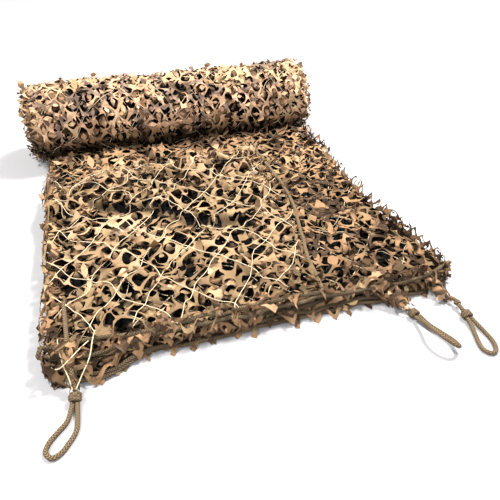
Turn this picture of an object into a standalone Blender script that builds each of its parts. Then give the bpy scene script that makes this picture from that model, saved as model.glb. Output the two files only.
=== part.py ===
# A camouflage net, folded lengthwise and rolled, with its loose end laid out in front of the roll.
# Metres, +Z up. X runs along the roll, the loose end points to -Y, and Z = 0 is the floor.
# The origin is under the middle of the net, without its tie loops.

import math
import random

import bmesh
import bpy
from mathutils import Matrix, Vector

# Cloth and rope.
SHEET = 0.0022  # scrim with the net cord on it
ROPE_D = 0.0076
ROPE_R = ROPE_D / 2
GAP = 0.0004  # between pieces that touch
ROPE_GAP = 0.0008  # between the border rope and the cloth's edge, at the points of both
LYING_GAP = 0.002  # under the rope that lies on the run below

# The roll.
ROLL_R = 0.108
ROLL_Y = 0.4075
ROLL_LENGTH = 0.816
ROLL_RIM = 0.016  # rounding at its ends
ROLL_ANGLES = 36
ROLL_STATIONS = 17
ROLL_END_RINGS = 8
ROLL_LUMP = 0.0018  # swing of each wave of lumps
ROLL_WAVES = (
    {"along": 21, "around": 2},
    {"along": 34, "around": -3},
    {"along": 13, "around": 4},
    {"along": 47, "around": 1},
)
ROLL_FLAT = 0.0012  # taken off its underside
WIND_PITCH = 0.036  # from one turn to the next, on the ends
WIND_RELIEF = 0.013
LUMPS_START = 0.062  # below this height the laid runs meet a plain round side
LUMPS_FULL = 0.112

# The laid runs, counted from the floor. The odd ones lie face up, and the last one is the turned-over top.
RUN_PITCH = 0.013
SWELL = 0.0007  # for each run below
RUN_CELLS = (10, 10, 10, 10, 7)
FOLD_CELLS = 3
ROWS = 10
TOP_RUN = len(RUN_CELLS) - 1
TOP_ROWS = 8  # the top run ends before the roll
CUT_RUNS = (TOP_RUN - 1, TOP_RUN)

LEFT_X = -0.376
RIGHT_X = 0.372
RIGHT_FLARE = 0.018  # the right side stands out at both ends
WAIST_Y = -0.10
HALF_LENGTH = 0.35
FRONT_Y = -0.468
TOP_SIDE_BACK = 0.182  # free side of the top run, at its back and at its front
TOP_SIDE_FRONT = 0.112
TOP_BACK_Y = 0.157
TOP_FOLD = {"rise": 0.015, "inside": 0.075, "width": 0.05}  # the soft fold along the back of the top run
TOP_DROOP = 0.05  # width in which the top run comes down to its back and to its free side
CRUSH = {"share": 0.10, "front_width": 0.06, "right_x": 0.39, "right_width": 0.07}

# How each run's front edge lies: set back from the lowest, and its share in the bulge of the left corner.
RUN_FRONTS = (
    {"set_back": 0.000, "corner": 1.0},
    {"set_back": 0.004, "corner": 0.9},
    {"set_back": 0.009, "corner": 0.6},
    {"set_back": 0.005, "corner": 0.4},
    {"set_back": 0.013, "corner": 0.0},
)
CORNER_BULGE = {"x": -0.305, "width": 0.052, "depth": 0.038}
RIGHT_RECESS = {"x": 0.42, "width": 0.05, "depth": 0.030}

# A gap, in shares of its cell.
GAP_INSET = 0.24
GAP_ROUND = 0.085
GAP_JITTER = 0.045

# Knots: along the rope, across it, and upwards.
KNOT = {"length": 0.018, "width": 0.0215, "height": 0.0172, "ridges": 3, "ridge": 0.0013, "slant": 0.0022}
SMALL_KNOT = {"length": 0.011, "width": 0.0135, "height": 0.0125, "ridges": 2, "ridge": 0.0009, "slant": 0.0012}
KNOT_SIDES = 12
KNOT_RINGS = 8

# The ties. A knot has its middle and the direction in which the loop leaves it. A lead runs from the net to
# the knot. A loop has its route between the two places where it meets the knot.
FLOOR_Z = ROPE_R + 0.0002
TIES = {
    "left_tie": {
        "knot": (-0.3390, -0.5380, 0.0108),
        "towards": (-0.12, -1.0, -0.34),
        "lead": ((-0.3440, -0.3600, 0.0571), (-0.3425, -0.4000, 0.0571), (-0.3410, -0.4400, 0.0576),
                 (-0.3400, -0.4680, 0.0560), (-0.3395, -0.4880, 0.0480), (-0.3390, -0.5030, 0.0360),
                 (-0.3385, -0.5150, 0.0245)),
        "loop": ((-0.3520, -0.5735, FLOOR_Z), (-0.3650, -0.5885, FLOOR_Z), (-0.3775, -0.6030, FLOOR_Z),
                 (-0.3830, -0.6180, FLOOR_Z), (-0.3755, -0.6300, FLOOR_Z), (-0.3625, -0.6265, FLOOR_Z),
                 (-0.3500, -0.6120, FLOOR_Z), (-0.3400, -0.5950, FLOOR_Z), (-0.3375, -0.5745, FLOOR_Z)),
    },
    "middle_tie": {
        "knot": (0.2680, -0.5290, 0.0089),
        "towards": (0.16, -1.0, 0.10),
        "lead": ((0.2520, -0.4738, 0.0152), (0.2550, -0.4880, 0.0130)),
        "loop": ((0.2660, -0.5650, 0.0190), (0.2635, -0.5900, 0.0275), (0.2695, -0.6150, 0.0290),
                 (0.2815, -0.6310, 0.0235), (0.2930, -0.6290, 0.0150), (0.2960, -0.6080, 0.0085),
                 (0.2890, -0.5830, 0.0062), (0.2800, -0.5620, 0.0068)),
    },
    "right_tie": {
        "knot": (0.3600, -0.5610, 0.0089),
        "towards": (-0.05, -1.0, -0.08),
        "lead": ((0.3480, -0.4616, 0.0142), (0.3490, -0.4790, 0.0124), (0.3500, -0.4970, 0.0092)),
        "loop": ((0.3490, -0.5990, FLOOR_Z), (0.3400, -0.6230, FLOOR_Z), (0.3365, -0.6400, FLOOR_Z),
                 (0.3440, -0.6520, FLOOR_Z), (0.3560, -0.6490, FLOOR_Z), (0.3650, -0.6310, FLOOR_Z),
                 (0.3670, -0.6060, FLOOR_Z)),
    },
}
SMALL_KNOT_BEHIND = 0.0215  # from the big knot's face to the small one's middle
LOOP_STEP = 1.4 * ROPE_D
LEAD_STEP = 1.0 * ROPE_D

KHAKI = (0.353, 0.262, 0.147, 1.0)
TAN = (0.445, 0.323, 0.181, 1.0)
ROPE_KHAKI = (0.305, 0.231, 0.128, 1.0)


# ---- small helpers ------------------------------------------------------------------------------------


def clear_scene():
    for thing in list(bpy.data.objects):
        bpy.data.objects.remove(thing, do_unlink=True)


def cloth_material(name, colour, roughness):
    material = bpy.data.materials.new(name)
    material.use_nodes = True
    shader = material.node_tree.nodes["Principled BSDF"]
    shader.inputs["Base Color"].default_value = colour
    shader.inputs["Roughness"].default_value = roughness
    shader.inputs["Metallic"].default_value = 0.0
    return material


def bell(value, middle, width):
    return math.exp(-(((value - middle) / width) ** 2))


def ease(value, start, end):
    share = min(1.0, max(0.0, (value - start) / (end - start)))
    return share * share * (3 - 2 * share)


def mix(first, second, share):
    return first + (second - first) * share


def add_object(collection, name, mesh, material):
    thing = bpy.data.objects.new(name, mesh)
    mesh.materials.clear()
    mesh.materials.append(material)
    collection.objects.link(thing)
    return thing


# The mesh of an object with its curve bevel or modifiers applied. The object itself is removed.
def baked_mesh(thing):
    bpy.context.view_layer.update()
    mesh = bpy.data.meshes.new_from_object(thing.evaluated_get(bpy.context.evaluated_depsgraph_get()))
    mesh.transform(thing.matrix_world)
    bpy.data.objects.remove(thing, do_unlink=True)
    return mesh


# A profile of (x, radius) pairs, turned about X.
def turned_mesh(collection, points, sides):
    profile = bpy.data.meshes.new("profile")
    edges = [(index, index + 1) for index in range(len(points) - 1)]
    profile.from_pydata([(x, 0.0, radius) for x, radius in points], edges, [])
    thing = bpy.data.objects.new("profile", profile)
    collection.objects.link(thing)
    turn = thing.modifiers.new("turn", "SCREW")
    turn.axis = "X"
    turn.steps = sides
    turn.render_steps = sides
    turn.use_merge_vertices = True
    turn.merge_threshold = 0.0001
    mesh = baked_mesh(thing)
    body = bmesh.new()
    body.from_mesh(mesh)
    bmesh.ops.recalc_face_normals(body, faces=body.faces)
    body.to_mesh(mesh)
    body.free()
    return mesh


# ---- the roll -----------------------------------------------------------------------------------------


# Half the roll's section: up one end, round its rim, along the side and down the other end.
def roll_profile():
    half = ROLL_LENGTH / 2
    end_radius = ROLL_R - ROLL_RIM
    points = [(-half, end_radius * ring / ROLL_END_RINGS) for ring in range(ROLL_END_RINGS + 1)]
    rim = [math.radians(angle) for angle in (30, 60, 90)]
    points += [(-half + ROLL_RIM * (1 - math.cos(a)), end_radius + ROLL_RIM * math.sin(a)) for a in rim]
    side = half - ROLL_RIM
    points += [(mix(-side, side, step / ROLL_STATIONS), ROLL_R) for step in range(1, ROLL_STATIONS)]
    return points + [(-x, radius) for x, radius in reversed(points[: ROLL_END_RINGS + 4])]


def roll_lump(x, angle, phases):
    waves = zip(ROLL_WAVES, phases)
    return ROLL_LUMP * sum(math.sin(wave["along"] * x + wave["around"] * angle + phase) for wave, phase in waves)


# How far a point of an end lies inward, between the ridges of a spiral. The relief fades towards the rim.
def wind_groove(radius, angle):
    turn = radius / WIND_PITCH - angle / math.tau
    return WIND_RELIEF * (0.5 + 0.5 * math.cos(math.tau * turn)) * (1 - 0.4 * radius / ROLL_R)


# Lumps on the side, a spiral ridge on both ends, and a flat underside.
def shape_roll(mesh):
    chance = random.Random(5)
    phases = [chance.uniform(0, math.tau) for _ in ROLL_WAVES]
    end = ROLL_LENGTH / 2 - ROLL_RIM / 2
    for vertex in mesh.vertices:
        x, y, z = vertex.co
        radius = math.hypot(y, z)
        angle = math.atan2(z, y)
        if radius > 0.3 * ROLL_R:
            bumpy = ease(z + ROLL_R, LUMPS_START, LUMPS_FULL)
            grown = 1 + roll_lump(x, angle, phases) * bumpy / ROLL_R
            y, z = y * grown, z * grown
        if abs(x) > end and radius > 0:
            x -= math.copysign(wind_groove(radius, angle), x)
        vertex.co = (x, y + ROLL_Y, max(0.0, z + ROLL_R - ROLL_FLAT))


def build_roll(collection, material):
    mesh = turned_mesh(collection, roll_profile(), ROLL_ANGLES)
    shape_roll(mesh)
    mesh.shade_smooth()
    mesh.set_sharp_from_angle(angle=math.radians(50))
    return add_object(collection, "netting_roll", mesh, material)


# ---- the laid runs ------------------------------------------------------------------------------------


# Where each run starts in the flat grid's columns. A fold's columns lie between two runs.
def run_starts():
    starts = [0]
    for cells in RUN_CELLS[:-1]:
        starts.append(starts[-1] + cells + FOLD_CELLS)
    return starts


RUN_STARTS = run_starts()
COLUMNS = RUN_STARTS[-1] + RUN_CELLS[-1]


def side_x(side, level, y):
    wobble = 0.0045 * math.sin(11 * y + 2.1 * level) + 0.003 * math.sin(29 * y + 1.3 * level)
    if side == "left":
        return LEFT_X + wobble
    return RIGHT_X + RIGHT_FLARE * ((y - WAIST_Y) / HALF_LENGTH) ** 2 + wobble


# A run's free or folded ends. The odd runs lie from right to left.
def run_ends(run, y):
    left = side_x("left", 2 * ((run + 1) // 2), y)
    right = side_x("right", 2 * (run // 2) + 1, y)
    if run == TOP_RUN:
        right = mix(TOP_SIDE_FRONT, TOP_SIDE_BACK, ease(y, FRONT_Y, -0.05))
    return (left, right) if run % 2 == 0 else (right, left)


def front_y(run, x):
    shape = RUN_FRONTS[run]
    bulge = CORNER_BULGE["depth"] * bell(x, CORNER_BULGE["x"], CORNER_BULGE["width"]) * shape["corner"]
    recess = RIGHT_RECESS["depth"] * bell(x, RIGHT_RECESS["x"], RIGHT_RECESS["width"])
    wave = 0.003 * math.sin(17 * x + 1.9 * run)
    return FRONT_Y + shape["set_back"] - bulge + recess + wave


# The runs end against the roll's round side, each at its own height.
def back_y(run):
    height = SHEET + run * RUN_PITCH
    drop = ROLL_R - ROLL_FLAT - height
    return ROLL_Y - math.sqrt(ROLL_R**2 - drop**2) - GAP


def top_back_y(x):
    lifted = 0.03 * ease(x, 0.03, 0.19)
    drawn_in = 0.07 * (1 - ease(x, -0.34, -0.26))
    return TOP_BACK_Y + lifted - drawn_in


# The lowest run is flat. The others sag and swell, more towards the top, and lie level at the roll.
def run_z(run, x, y):
    loose = 1 - ease(y, 0.20, back_y(run) - 0.01)
    swell = math.sin(9 * x + 7 * y + 0.8 * run) * math.cos(8 * y - 5 * x + 0.5 * run)
    crush = bell(y, FRONT_Y, CRUSH["front_width"]) + bell(x, CRUSH["right_x"], CRUSH["right_width"])
    return SHEET / 2 + run * (RUN_PITCH * (1 - CRUSH["share"] * crush * loose) + SWELL * swell * loose)


def top_run_z(x, y, below):
    level = run_z(TOP_RUN, x, y)
    back = top_back_y(x)
    right = run_ends(TOP_RUN, y)[1]
    fold = TOP_FOLD["rise"] * bell(y, back - TOP_FOLD["inside"], TOP_FOLD["width"]) * ease(right - x, 0.0, 0.08)
    droop = max(ease(y, back - TOP_DROOP, back), ease(x, right - TOP_DROOP, right))
    return mix(level + fold, below + SHEET / 2 + ROPE_R + LYING_GAP, droop)


# The middle of the cloth at a place in a run: across is 0 to 1 along the run, row counts from the front.
def run_point(run, across, row):
    share = row / ROWS
    y = mix(FRONT_Y, back_y(run), share)
    start, end = run_ends(run, y)
    x = mix(start, end, across)
    y = mix(front_y(run, x), back_y(run), share)
    if run < TOP_RUN:
        return Vector((x, y, run_z(run, x, y)))
    edge = mix(front_y(run, x), back_y(run), TOP_ROWS / ROWS)
    y += (top_back_y(x) - edge) * (row / TOP_ROWS) ** 2 * ease(across, 0.0, 0.12)
    return Vector((x, y, top_run_z(x, y, run_z(run - 1, x, y))))


# A fold turns half round from the end of one run to the start of the next.
def fold_point(run, turn, row):
    lower = run_point(run, 1.0, row)
    upper = run_point(run + 1, 0.0, row)
    outward = 1 if run % 2 == 0 else -1
    angle = math.pi * (turn - 0.5)
    middle = (lower + upper) / 2
    half = (upper - lower) / 2
    reach = outward * half.z * math.cos(angle)
    return middle + half * math.sin(angle) + Vector((reach, 0, 0))


def cloth_point(column, row):
    run = max(index for index, start in enumerate(RUN_STARTS) if start <= column + 1e-6)
    step = column - RUN_STARTS[run]
    if step <= RUN_CELLS[run]:
        return run_point(run, step / RUN_CELLS[run], row)
    return fold_point(run, (step - RUN_CELLS[run]) / FOLD_CELLS, row)


def flat_grid():
    grid = bmesh.new()
    bmesh.ops.create_grid(grid, x_segments=COLUMNS, y_segments=ROWS, size=0.5)
    for vertex in grid.verts:
        vertex.co.x = round((vertex.co.x + 0.5) * COLUMNS)
        vertex.co.y = round((vertex.co.y + 0.5) * ROWS)
    top_fold = RUN_STARTS[TOP_RUN] - FOLD_CELLS
    spare = [face for face in grid.faces
             if face.calc_center_median().x > top_fold and face.calc_center_median().y > TOP_ROWS]
    bmesh.ops.delete(grid, geom=spare, context="FACES")
    return grid


def is_cut(face):
    middle = face.calc_center_median()
    for run in CUT_RUNS:
        start = RUN_STARTS[run]
        if start < middle.x < start + RUN_CELLS[run]:
            return True
    return False


# Each cell of the upper runs gets one rounded gap.
def cut_gaps(grid):
    chance = random.Random(11)
    cells = [face for face in grid.faces if is_cut(face)]
    bmesh.ops.inset_individual(grid, faces=cells, thickness=GAP_INSET, use_even_offset=True)
    rims = [edge for face in cells for edge in face.edges]
    corners = {vertex for edge in rims for vertex in edge.verts}
    bmesh.ops.subdivide_edges(grid, edges=rims, cuts=1)
    for face in cells:
        middle = face.calc_center_median()
        for vertex in face.verts:
            outward = (vertex.co - middle).normalized()
            if vertex not in corners:
                vertex.co += outward * GAP_ROUND
            vertex.co.x += chance.uniform(-GAP_JITTER, GAP_JITTER)
            vertex.co.y += chance.uniform(-GAP_JITTER, GAP_JITTER)
    bmesh.ops.delete(grid, geom=cells, context="FACES")
    return len(cells)


def build_laid_netting(collection, material):
    grid = flat_grid()
    gaps = cut_gaps(grid)
    print("gaps cut:", gaps)
    for vertex in grid.verts:
        vertex.co = cloth_point(vertex.co.x, vertex.co.y)
    bmesh.ops.recalc_face_normals(grid, faces=grid.faces)
    mesh = bpy.data.meshes.new("laid_netting")
    grid.to_mesh(mesh)
    grid.free()
    thing = add_object(collection, "laid_netting", mesh, material)
    thickness = thing.modifiers.new("thickness", "SOLIDIFY")
    thickness.thickness = SHEET
    thickness.offset = 0.0
    return thing


# ---- ropes --------------------------------------------------------------------------------------------


# Points on a smooth curve through the route's own points, about a step apart.
def smooth_route(points, step):
    places = [Vector(point) for point in points]
    places = [places[0] * 2 - places[1]] + places + [places[-1] * 2 - places[-2]]
    fine = []
    for before, start, end, after in zip(places, places[1:], places[2:], places[3:]):
        for share in (index / 24 for index in range(24)):
            square = share * share
            cube = square * share
            fine.append(0.5 * (2 * start + (end - before) * share
                               + (2 * before - 5 * start + 4 * end - after) * square
                               + (3 * start - before - 3 * end + after) * cube))
    fine.append(places[-2])
    lengths = [0.0]
    for first, second in zip(fine, fine[1:]):
        lengths.append(lengths[-1] + (second - first).length)
    count = max(2, round(lengths[-1] / step))
    route = []
    for index in range(count + 1):
        wanted = lengths[-1] * index / count
        place = max(spot for spot, length in enumerate(lengths) if length <= wanted + 1e-9)
        place = min(place, len(fine) - 2)
        share = (wanted - lengths[place]) / (lengths[place + 1] - lengths[place])
        route.append(fine[place].lerp(fine[place + 1], share))
    return route


def build_rope(collection, name, route, material, roundness=2):
    curve = bpy.data.curves.new(name, "CURVE")
    curve.dimensions = "3D"
    curve.bevel_depth = ROPE_R
    curve.bevel_resolution = roundness
    curve.use_fill_caps = True
    spline = curve.splines.new("POLY")
    spline.points.add(len(route) - 1)
    for point, place in zip(spline.points, route):
        point.co = (*place, 1.0)
    curve.materials.append(material)
    thing = bpy.data.objects.new(name, curve)
    collection.objects.link(thing)
    return thing


# The rope lies against the cloth's edge: outward in the cloth, square to the edge.
def beside_edge(before, place, after, inner):
    along = (after - before).normalized()
    outward = place - inner
    outward -= along * outward.dot(along)
    spot = place + outward.normalized() * (ROPE_R + ROPE_GAP)
    spot.z = max(spot.z, FLOOR_Z)
    return spot


# Round the front edges of all runs, then back along the free side of the top run.
def border_route():
    front = [cloth_point(column, 0) for column in range(COLUMNS + 1)]
    inner = [cloth_point(column, 1) for column in range(COLUMNS + 1)]
    route = []
    for index, place in enumerate(front[:-1]):
        before = front[max(0, index - 1)]
        route.append(beside_edge(before, place, front[index + 1], inner[index]))
    side = [cloth_point(COLUMNS, row) for row in range(TOP_ROWS + 1)]
    side_inner = [cloth_point(COLUMNS - 1, row) for row in range(TOP_ROWS + 1)]
    forward = (side[0] - side[1]).normalized() * (ROPE_R + ROPE_GAP)
    outward = (side[0] - side_inner[0]).normalized() * (ROPE_R + ROPE_GAP)
    route += [side[0] + forward, side[0] + (forward + outward) * 0.8, side[0] + outward * 1.05]
    for row in range(1, TOP_ROWS + 1):
        after = side[min(row + 1, TOP_ROWS)]
        route.append(beside_edge(side[row - 1], side[row], after, side_inner[row]))
    return route


# ---- knots and ties -----------------------------------------------------------------------------------


# A barrel of slanted turns, turned about the rope's own line and then flattened.
def build_knot(collection, name, place, towards, size, material):
    half_length = size["length"] / 2
    half_height = size["height"] / 2
    rings = []
    for ring in range(KNOT_RINGS + 1):
        share = ring / KNOT_RINGS
        belly = math.sin(math.pi * min(0.92, max(0.08, share))) ** 0.45
        ridge = size["ridge"] * (1 + math.cos(math.tau * size["ridges"] * share))
        rings.append(((2 * share - 1) * half_length, half_height * belly - ridge))
    mesh = turned_mesh(collection, [(-half_length, 0.0), *rings, (half_length, 0.0)], KNOT_SIDES)
    for vertex in mesh.vertices:
        x, y, z = vertex.co
        inside = 1 - (abs(x) / half_length) ** 4
        vertex.co = (x + size["slant"] * y / half_height * inside, y * size["width"] / size["height"], z)
    aim = Vector(towards).to_track_quat("X", "Z").to_matrix().to_4x4()
    mesh.transform(Matrix.Translation(place) @ aim)
    mesh.shade_smooth()
    return add_object(collection, name, mesh, material)


def build_tie(collection, name, tie, material):
    knot = Vector(tie["knot"])
    towards = Vector(tie["towards"]).normalized()
    across = towards.cross(Vector((0, 0, 1))).normalized()
    face = KNOT["length"] / 2 + GAP
    build_knot(collection, name + "_knot", knot, towards, KNOT, material)
    spread = across * (ROPE_R + 0.0003)
    loop_start = knot + towards * face - spread
    loop_end = knot + towards * face + spread
    if (Vector(tie["loop"][0]) - loop_end).length < (Vector(tie["loop"][0]) - loop_start).length:
        loop_start, loop_end = loop_end, loop_start
    straight = towards * ROPE_R
    route = [loop_start, loop_start + straight, *tie["loop"], loop_end + straight, loop_end]
    loop = smooth_route(route, LOOP_STEP)
    build_rope(collection, name + "_loop", loop, material)
    lead_end = knot - towards * face
    lead = list(tie["lead"])
    if name == "right_tie":
        small = knot - towards * (face + SMALL_KNOT_BEHIND)
        build_knot(collection, name + "_small_knot", small, towards, SMALL_KNOT, material)
        small_face = SMALL_KNOT["length"] / 2 + GAP
        between = [small + towards * small_face, lead_end]
        build_rope(collection, name + "_link", smooth_route(between, ROPE_D), material)
        lead_end = small - towards * small_face
    lead_in = lead_end - straight
    build_rope(collection, name + "_lead", smooth_route([*lead, lead_in, lead_end], LEAD_STEP), material)


def main():
    clear_scene()
    collection = bpy.data.collections.new("camouflage_netting")
    bpy.context.scene.collection.children.link(collection)
    scrim = cloth_material("scrim", TAN, 0.9)
    wound = cloth_material("wound_scrim", KHAKI, 0.9)
    rope = cloth_material("khaki_rope", ROPE_KHAKI, 0.85)
    build_roll(collection, wound)
    build_laid_netting(collection, scrim)
    build_rope(collection, "border_rope", border_route(), rope, roundness=1)
    for name, tie in TIES.items():
        build_tie(collection, name, tie, rope)


main()
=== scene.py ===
# Camouflage netting, folded lengthwise and rolled, with its loose end laid out in front of the roll.
# Metres, +Z up. X runs along the roll, the loose end points to -Y, and Z = 0 is the floor.

import math
import random

import bpy
import numpy as np
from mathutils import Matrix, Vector


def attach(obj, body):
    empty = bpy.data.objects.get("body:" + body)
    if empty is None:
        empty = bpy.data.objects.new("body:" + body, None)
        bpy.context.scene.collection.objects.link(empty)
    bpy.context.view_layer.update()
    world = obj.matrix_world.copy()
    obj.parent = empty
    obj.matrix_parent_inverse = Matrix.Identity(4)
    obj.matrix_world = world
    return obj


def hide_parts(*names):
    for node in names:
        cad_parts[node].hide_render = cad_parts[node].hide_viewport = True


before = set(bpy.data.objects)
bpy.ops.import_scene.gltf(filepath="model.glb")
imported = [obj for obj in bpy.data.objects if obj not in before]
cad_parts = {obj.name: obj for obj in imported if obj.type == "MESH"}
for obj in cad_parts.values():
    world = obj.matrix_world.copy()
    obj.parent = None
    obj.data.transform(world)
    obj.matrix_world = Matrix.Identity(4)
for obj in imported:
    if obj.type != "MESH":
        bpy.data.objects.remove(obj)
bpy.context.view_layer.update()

mm = 0.001


def linearColour(hexCode):
    parts = [int(hexCode[i : i + 2], 16) / 255 for i in (1, 3, 5)]
    parts = [p / 12.92 if p <= 0.04045 else ((p + 0.055) / 1.055) ** 2.4 for p in parts]
    return (*parts, 1.0)


# Adds one node: values go to its own sockets, links join a socket to another node's output.
def addNode(tree, kind, values=None, links=None, **settings):
    node = tree.nodes.new("ShaderNode" + kind)
    for name, value in settings.items():
        setattr(node, name, value)
    for socket, value in (values or {}).items():
        node.inputs[socket].default_value = value
    for socket, source in (links or {}).items():
        tree.links.new(source, node.inputs[socket])
    return node


def bell(value, middle, width):
    return np.exp(-(((value - middle) / width) ** 2))


def ease(value, start, end):
    share = np.clip((value - start) / (end - start), 0.0, 1.0)
    return share * share * (3 - 2 * share)


def mix(first, second, share):
    return first + (second - first) * share


def stacked(*parts):
    return np.stack(parts, -1)


def unit(ways):
    return ways / np.linalg.norm(ways, axis=-1, keepdims=True)


def stepLengths(route):
    return np.linalg.norm(np.diff(route, axis=0), axis=1)


# How far along a route each of its points is.
def distances(route):
    return np.concatenate([[0], np.cumsum(stepLengths(route))])


# Smooth chance values from -1 to 1 over flat places, one swing for about each size.
def softNoise(places, size, seed, channels=1):
    cells = 64
    table = np.random.default_rng(seed).uniform(-1, 1, (cells, cells, channels))
    spot = places / size
    low = np.floor(spot).astype(int)
    part = spot - low
    part = part * part * (3 - 2 * part)
    left, down = low[..., 0] % cells, low[..., 1] % cells
    right, up = (left + 1) % cells, (down + 1) % cells
    px, py = part[..., 0:1], part[..., 1:2]
    lower = mix(table[left, down], table[right, down], px)
    upper = mix(table[left, up], table[right, up], px)
    return mix(lower, upper, py)


# The same chance value, 0 to 1, for the same place.
def placeChance(places, seed):
    rough = np.round(places * 4000)
    wave = np.sin(rough[..., 0] * 12.9898 + rough[..., 1] * 78.233 + seed * 37.719) * 43758.5453
    return wave - np.floor(wave)


def makeMesh(name, points, faces, materials, flat=None, tone=None, crispRims=False):
    mesh = bpy.data.meshes.new(name)
    mesh.from_pydata(points.tolist(), [], faces)
    if flat is not None:
        corners = np.zeros(len(mesh.loops), dtype=np.int32)
        mesh.loops.foreach_get("vertex_index", corners)
        layer = mesh.uv_layers.new(name="cloth")
        layer.uv.foreach_set("vector", flat[corners].astype(np.float32).ravel())
    if tone is not None:
        mesh.attributes.new("tone", "FLOAT", "POINT").data.foreach_set("value", tone.astype(np.float32))
    for material in materials:
        mesh.materials.append(material)
    mesh.shade_smooth()
    if crispRims:
        used = np.zeros(len(mesh.loops), dtype=np.int32)
        mesh.loops.foreach_get("edge_index", used)
        rim = np.bincount(used, minlength=len(mesh.edges)) == 1
        mesh.attributes.new("sharp_edge", "BOOLEAN", "EDGE").data.foreach_set("value", rim)
    piece = bpy.data.objects.new(name, mesh)
    bpy.context.scene.collection.objects.link(piece)
    return piece


# Puts a finished piece in the place of its CAD nodes.
def standFor(piece, slot, *nodes):
    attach(piece, "root")
    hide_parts(*nodes)
    return piece


cameraPlace = {"location": (-0.232, -1.0975, 0.65), "pitch": 35.5915, "turn": 17.5994, "lens": 36.216}


def addCamera():
    data = bpy.data.cameras.new("camera")
    data.lens = cameraPlace["lens"]
    data.sensor_width = 36
    data.clip_start = 0.01
    camera = bpy.data.objects.new("camera", data)
    camera.location = cameraPlace["location"]
    camera.rotation_euler = (math.radians(90 - cameraPlace["pitch"]), 0, -math.radians(cameraPlace["turn"]))
    bpy.context.scene.collection.objects.link(camera)
    bpy.context.scene.camera = camera


light = {
    "sky": "#FAFBFF",
    "skyPower": 0.72,
    "lamps": {
        "left": {"location": (-2.6, 0.6, 4.9), "size": 1.2, "power": 400, "colour": "#FFFBF5"},
        "right": {"location": (2.5, 1.2, 4.6), "size": 0.9, "power": 600, "colour": "#FFFBF5"},
        "fill": {"location": (-1.0, -2.9, 2.4), "size": 1.2, "power": 70, "colour": "#FBFBFF"},
    },
}
# Painted board, matt, dark enough that the lamps leave it white and the ties' soft shadows show.
floorPaint = {"colour": "#A3A3A5", "roughness": 0.9, "reach": 6}


# Every lamp points at the origin.
def addLamp(name, lamp):
    data = bpy.data.lights.new(name, "AREA")
    data.size = lamp["size"]
    data.energy = lamp["power"]
    data.color = linearColour(lamp["colour"])[:3]
    thing = bpy.data.objects.new(name, data)
    thing.location = lamp["location"]
    thing.rotation_euler = (-Vector(lamp["location"])).to_track_quat("-Z", "Y").to_euler()
    bpy.context.scene.collection.objects.link(thing)


def addStudio():
    world = bpy.data.worlds.new("studio")
    world.use_nodes = True
    background = world.node_tree.nodes["Background"]
    background.inputs["Color"].default_value = linearColour(light["sky"])
    background.inputs["Strength"].default_value = light["skyPower"]
    bpy.context.scene.world = world
    for name, lamp in light["lamps"].items():
        addLamp(name + "Lamp", lamp)
    bpy.context.scene.view_settings.view_transform = "Standard"
    floorMaterial = bpy.data.materials.new("paintedFloor")
    floorMaterial.use_nodes = True
    shader = floorMaterial.node_tree.nodes["Principled BSDF"]
    shader.inputs["Base Color"].default_value = linearColour(floorPaint["colour"])
    shader.inputs["Roughness"].default_value = floorPaint["roughness"]
    points = np.array([(-1, -1, 0), (1, -1, 0), (1, 1, 0), (-1, 1, 0)], float) * floorPaint["reach"]
    floor = makeMesh("floor", points, [(0, 1, 2, 3)], [floorMaterial])


addCamera()
addStudio()
print("camera, light and floor are in")


# Woven polyester scrim, printed on its face: matt, with soft-edged blotches and small crumples.
printedFace = {
    "sand": "#BB926C", "pale": "#B79C72", "brown": "#624D3B",
    "patch": 66 * mm, "detail": 2.2, "distortion": 1.4, "roughness": 0.88,
    "stops": ((0.45, "brown"), (0.475, "sand"), (0.59, "sand"), (0.63, "pale")),
}
# The same cloth's back, which the print doesn't reach: plain khaki, a little lighter.
plainBack = {
    "tan": "#B79A74", "shadow": "#97795A", "patch": 60 * mm, "detail": 4.0, "distortion": 0.0,
    "roughness": 0.9, "stops": ((0.32, "shadow"), (0.62, "tan")),
}
# Threads of 0.5 mm are drawn at 1.6 mm to show. Each bump has its strength and its depth.
weave = {"thread": 1.6 * mm, "unevenly": 1.2, "ribs": (0.12, 0.3 * mm), "crumple": 11 * mm,
         "crumples": (0.9, 6.0 * mm)}


def newMaterial(name, roughness):
    material = bpy.data.materials.new(name)
    material.use_nodes = True
    tree = material.node_tree
    shader = tree.nodes["Principled BSDF"]
    shader.inputs["Roughness"].default_value = roughness
    shader.inputs["Specular IOR Level"].default_value = 0.12
    return material, tree, shader, addNode(tree, "UVMap", uv_map="cloth").outputs["UV"]


def addMath(tree, operation, *parts):
    values = {k: part for k, part in enumerate(parts) if isinstance(part, float)}
    links = {k: part for k, part in enumerate(parts) if k not in values}
    return addNode(tree, "Math", values, links, operation=operation).outputs[0]


def addNoise(tree, flat, scale, detail, distortion=0.0):
    return addNode(tree, "TexNoise", {"Scale": scale, "Detail": detail, "Distortion": distortion},
                   {"Vector": flat}).outputs["Fac"]


def addRange(tree, source, low, high, start, end):
    return addNode(tree, "MapRange", {"From Min": low, "From Max": high, "To Min": start, "To Max": end},
                   {"Value": source}).outputs[0]


def addRamp(tree, source, *stops):
    ramp = addNode(tree, "ValToRGB", None, {"Fac": source})
    elements = ramp.color_ramp.elements
    while len(elements) < len(stops):
        elements.new(0.5)
    for element, (place, colour) in zip(elements, stops):
        element.position = place
        element.color = linearColour(colour)
    return ramp.outputs["Color"]


def addBump(tree, shader, height, strength, distance, under=None):
    links = {"Height": height} if under is None else {"Height": height, "Normal": under}
    bump = addNode(tree, "Bump", {"Strength": strength, "Distance": distance}, links).outputs["Normal"]
    tree.links.new(bump, shader.inputs["Normal"])
    return bump


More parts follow.
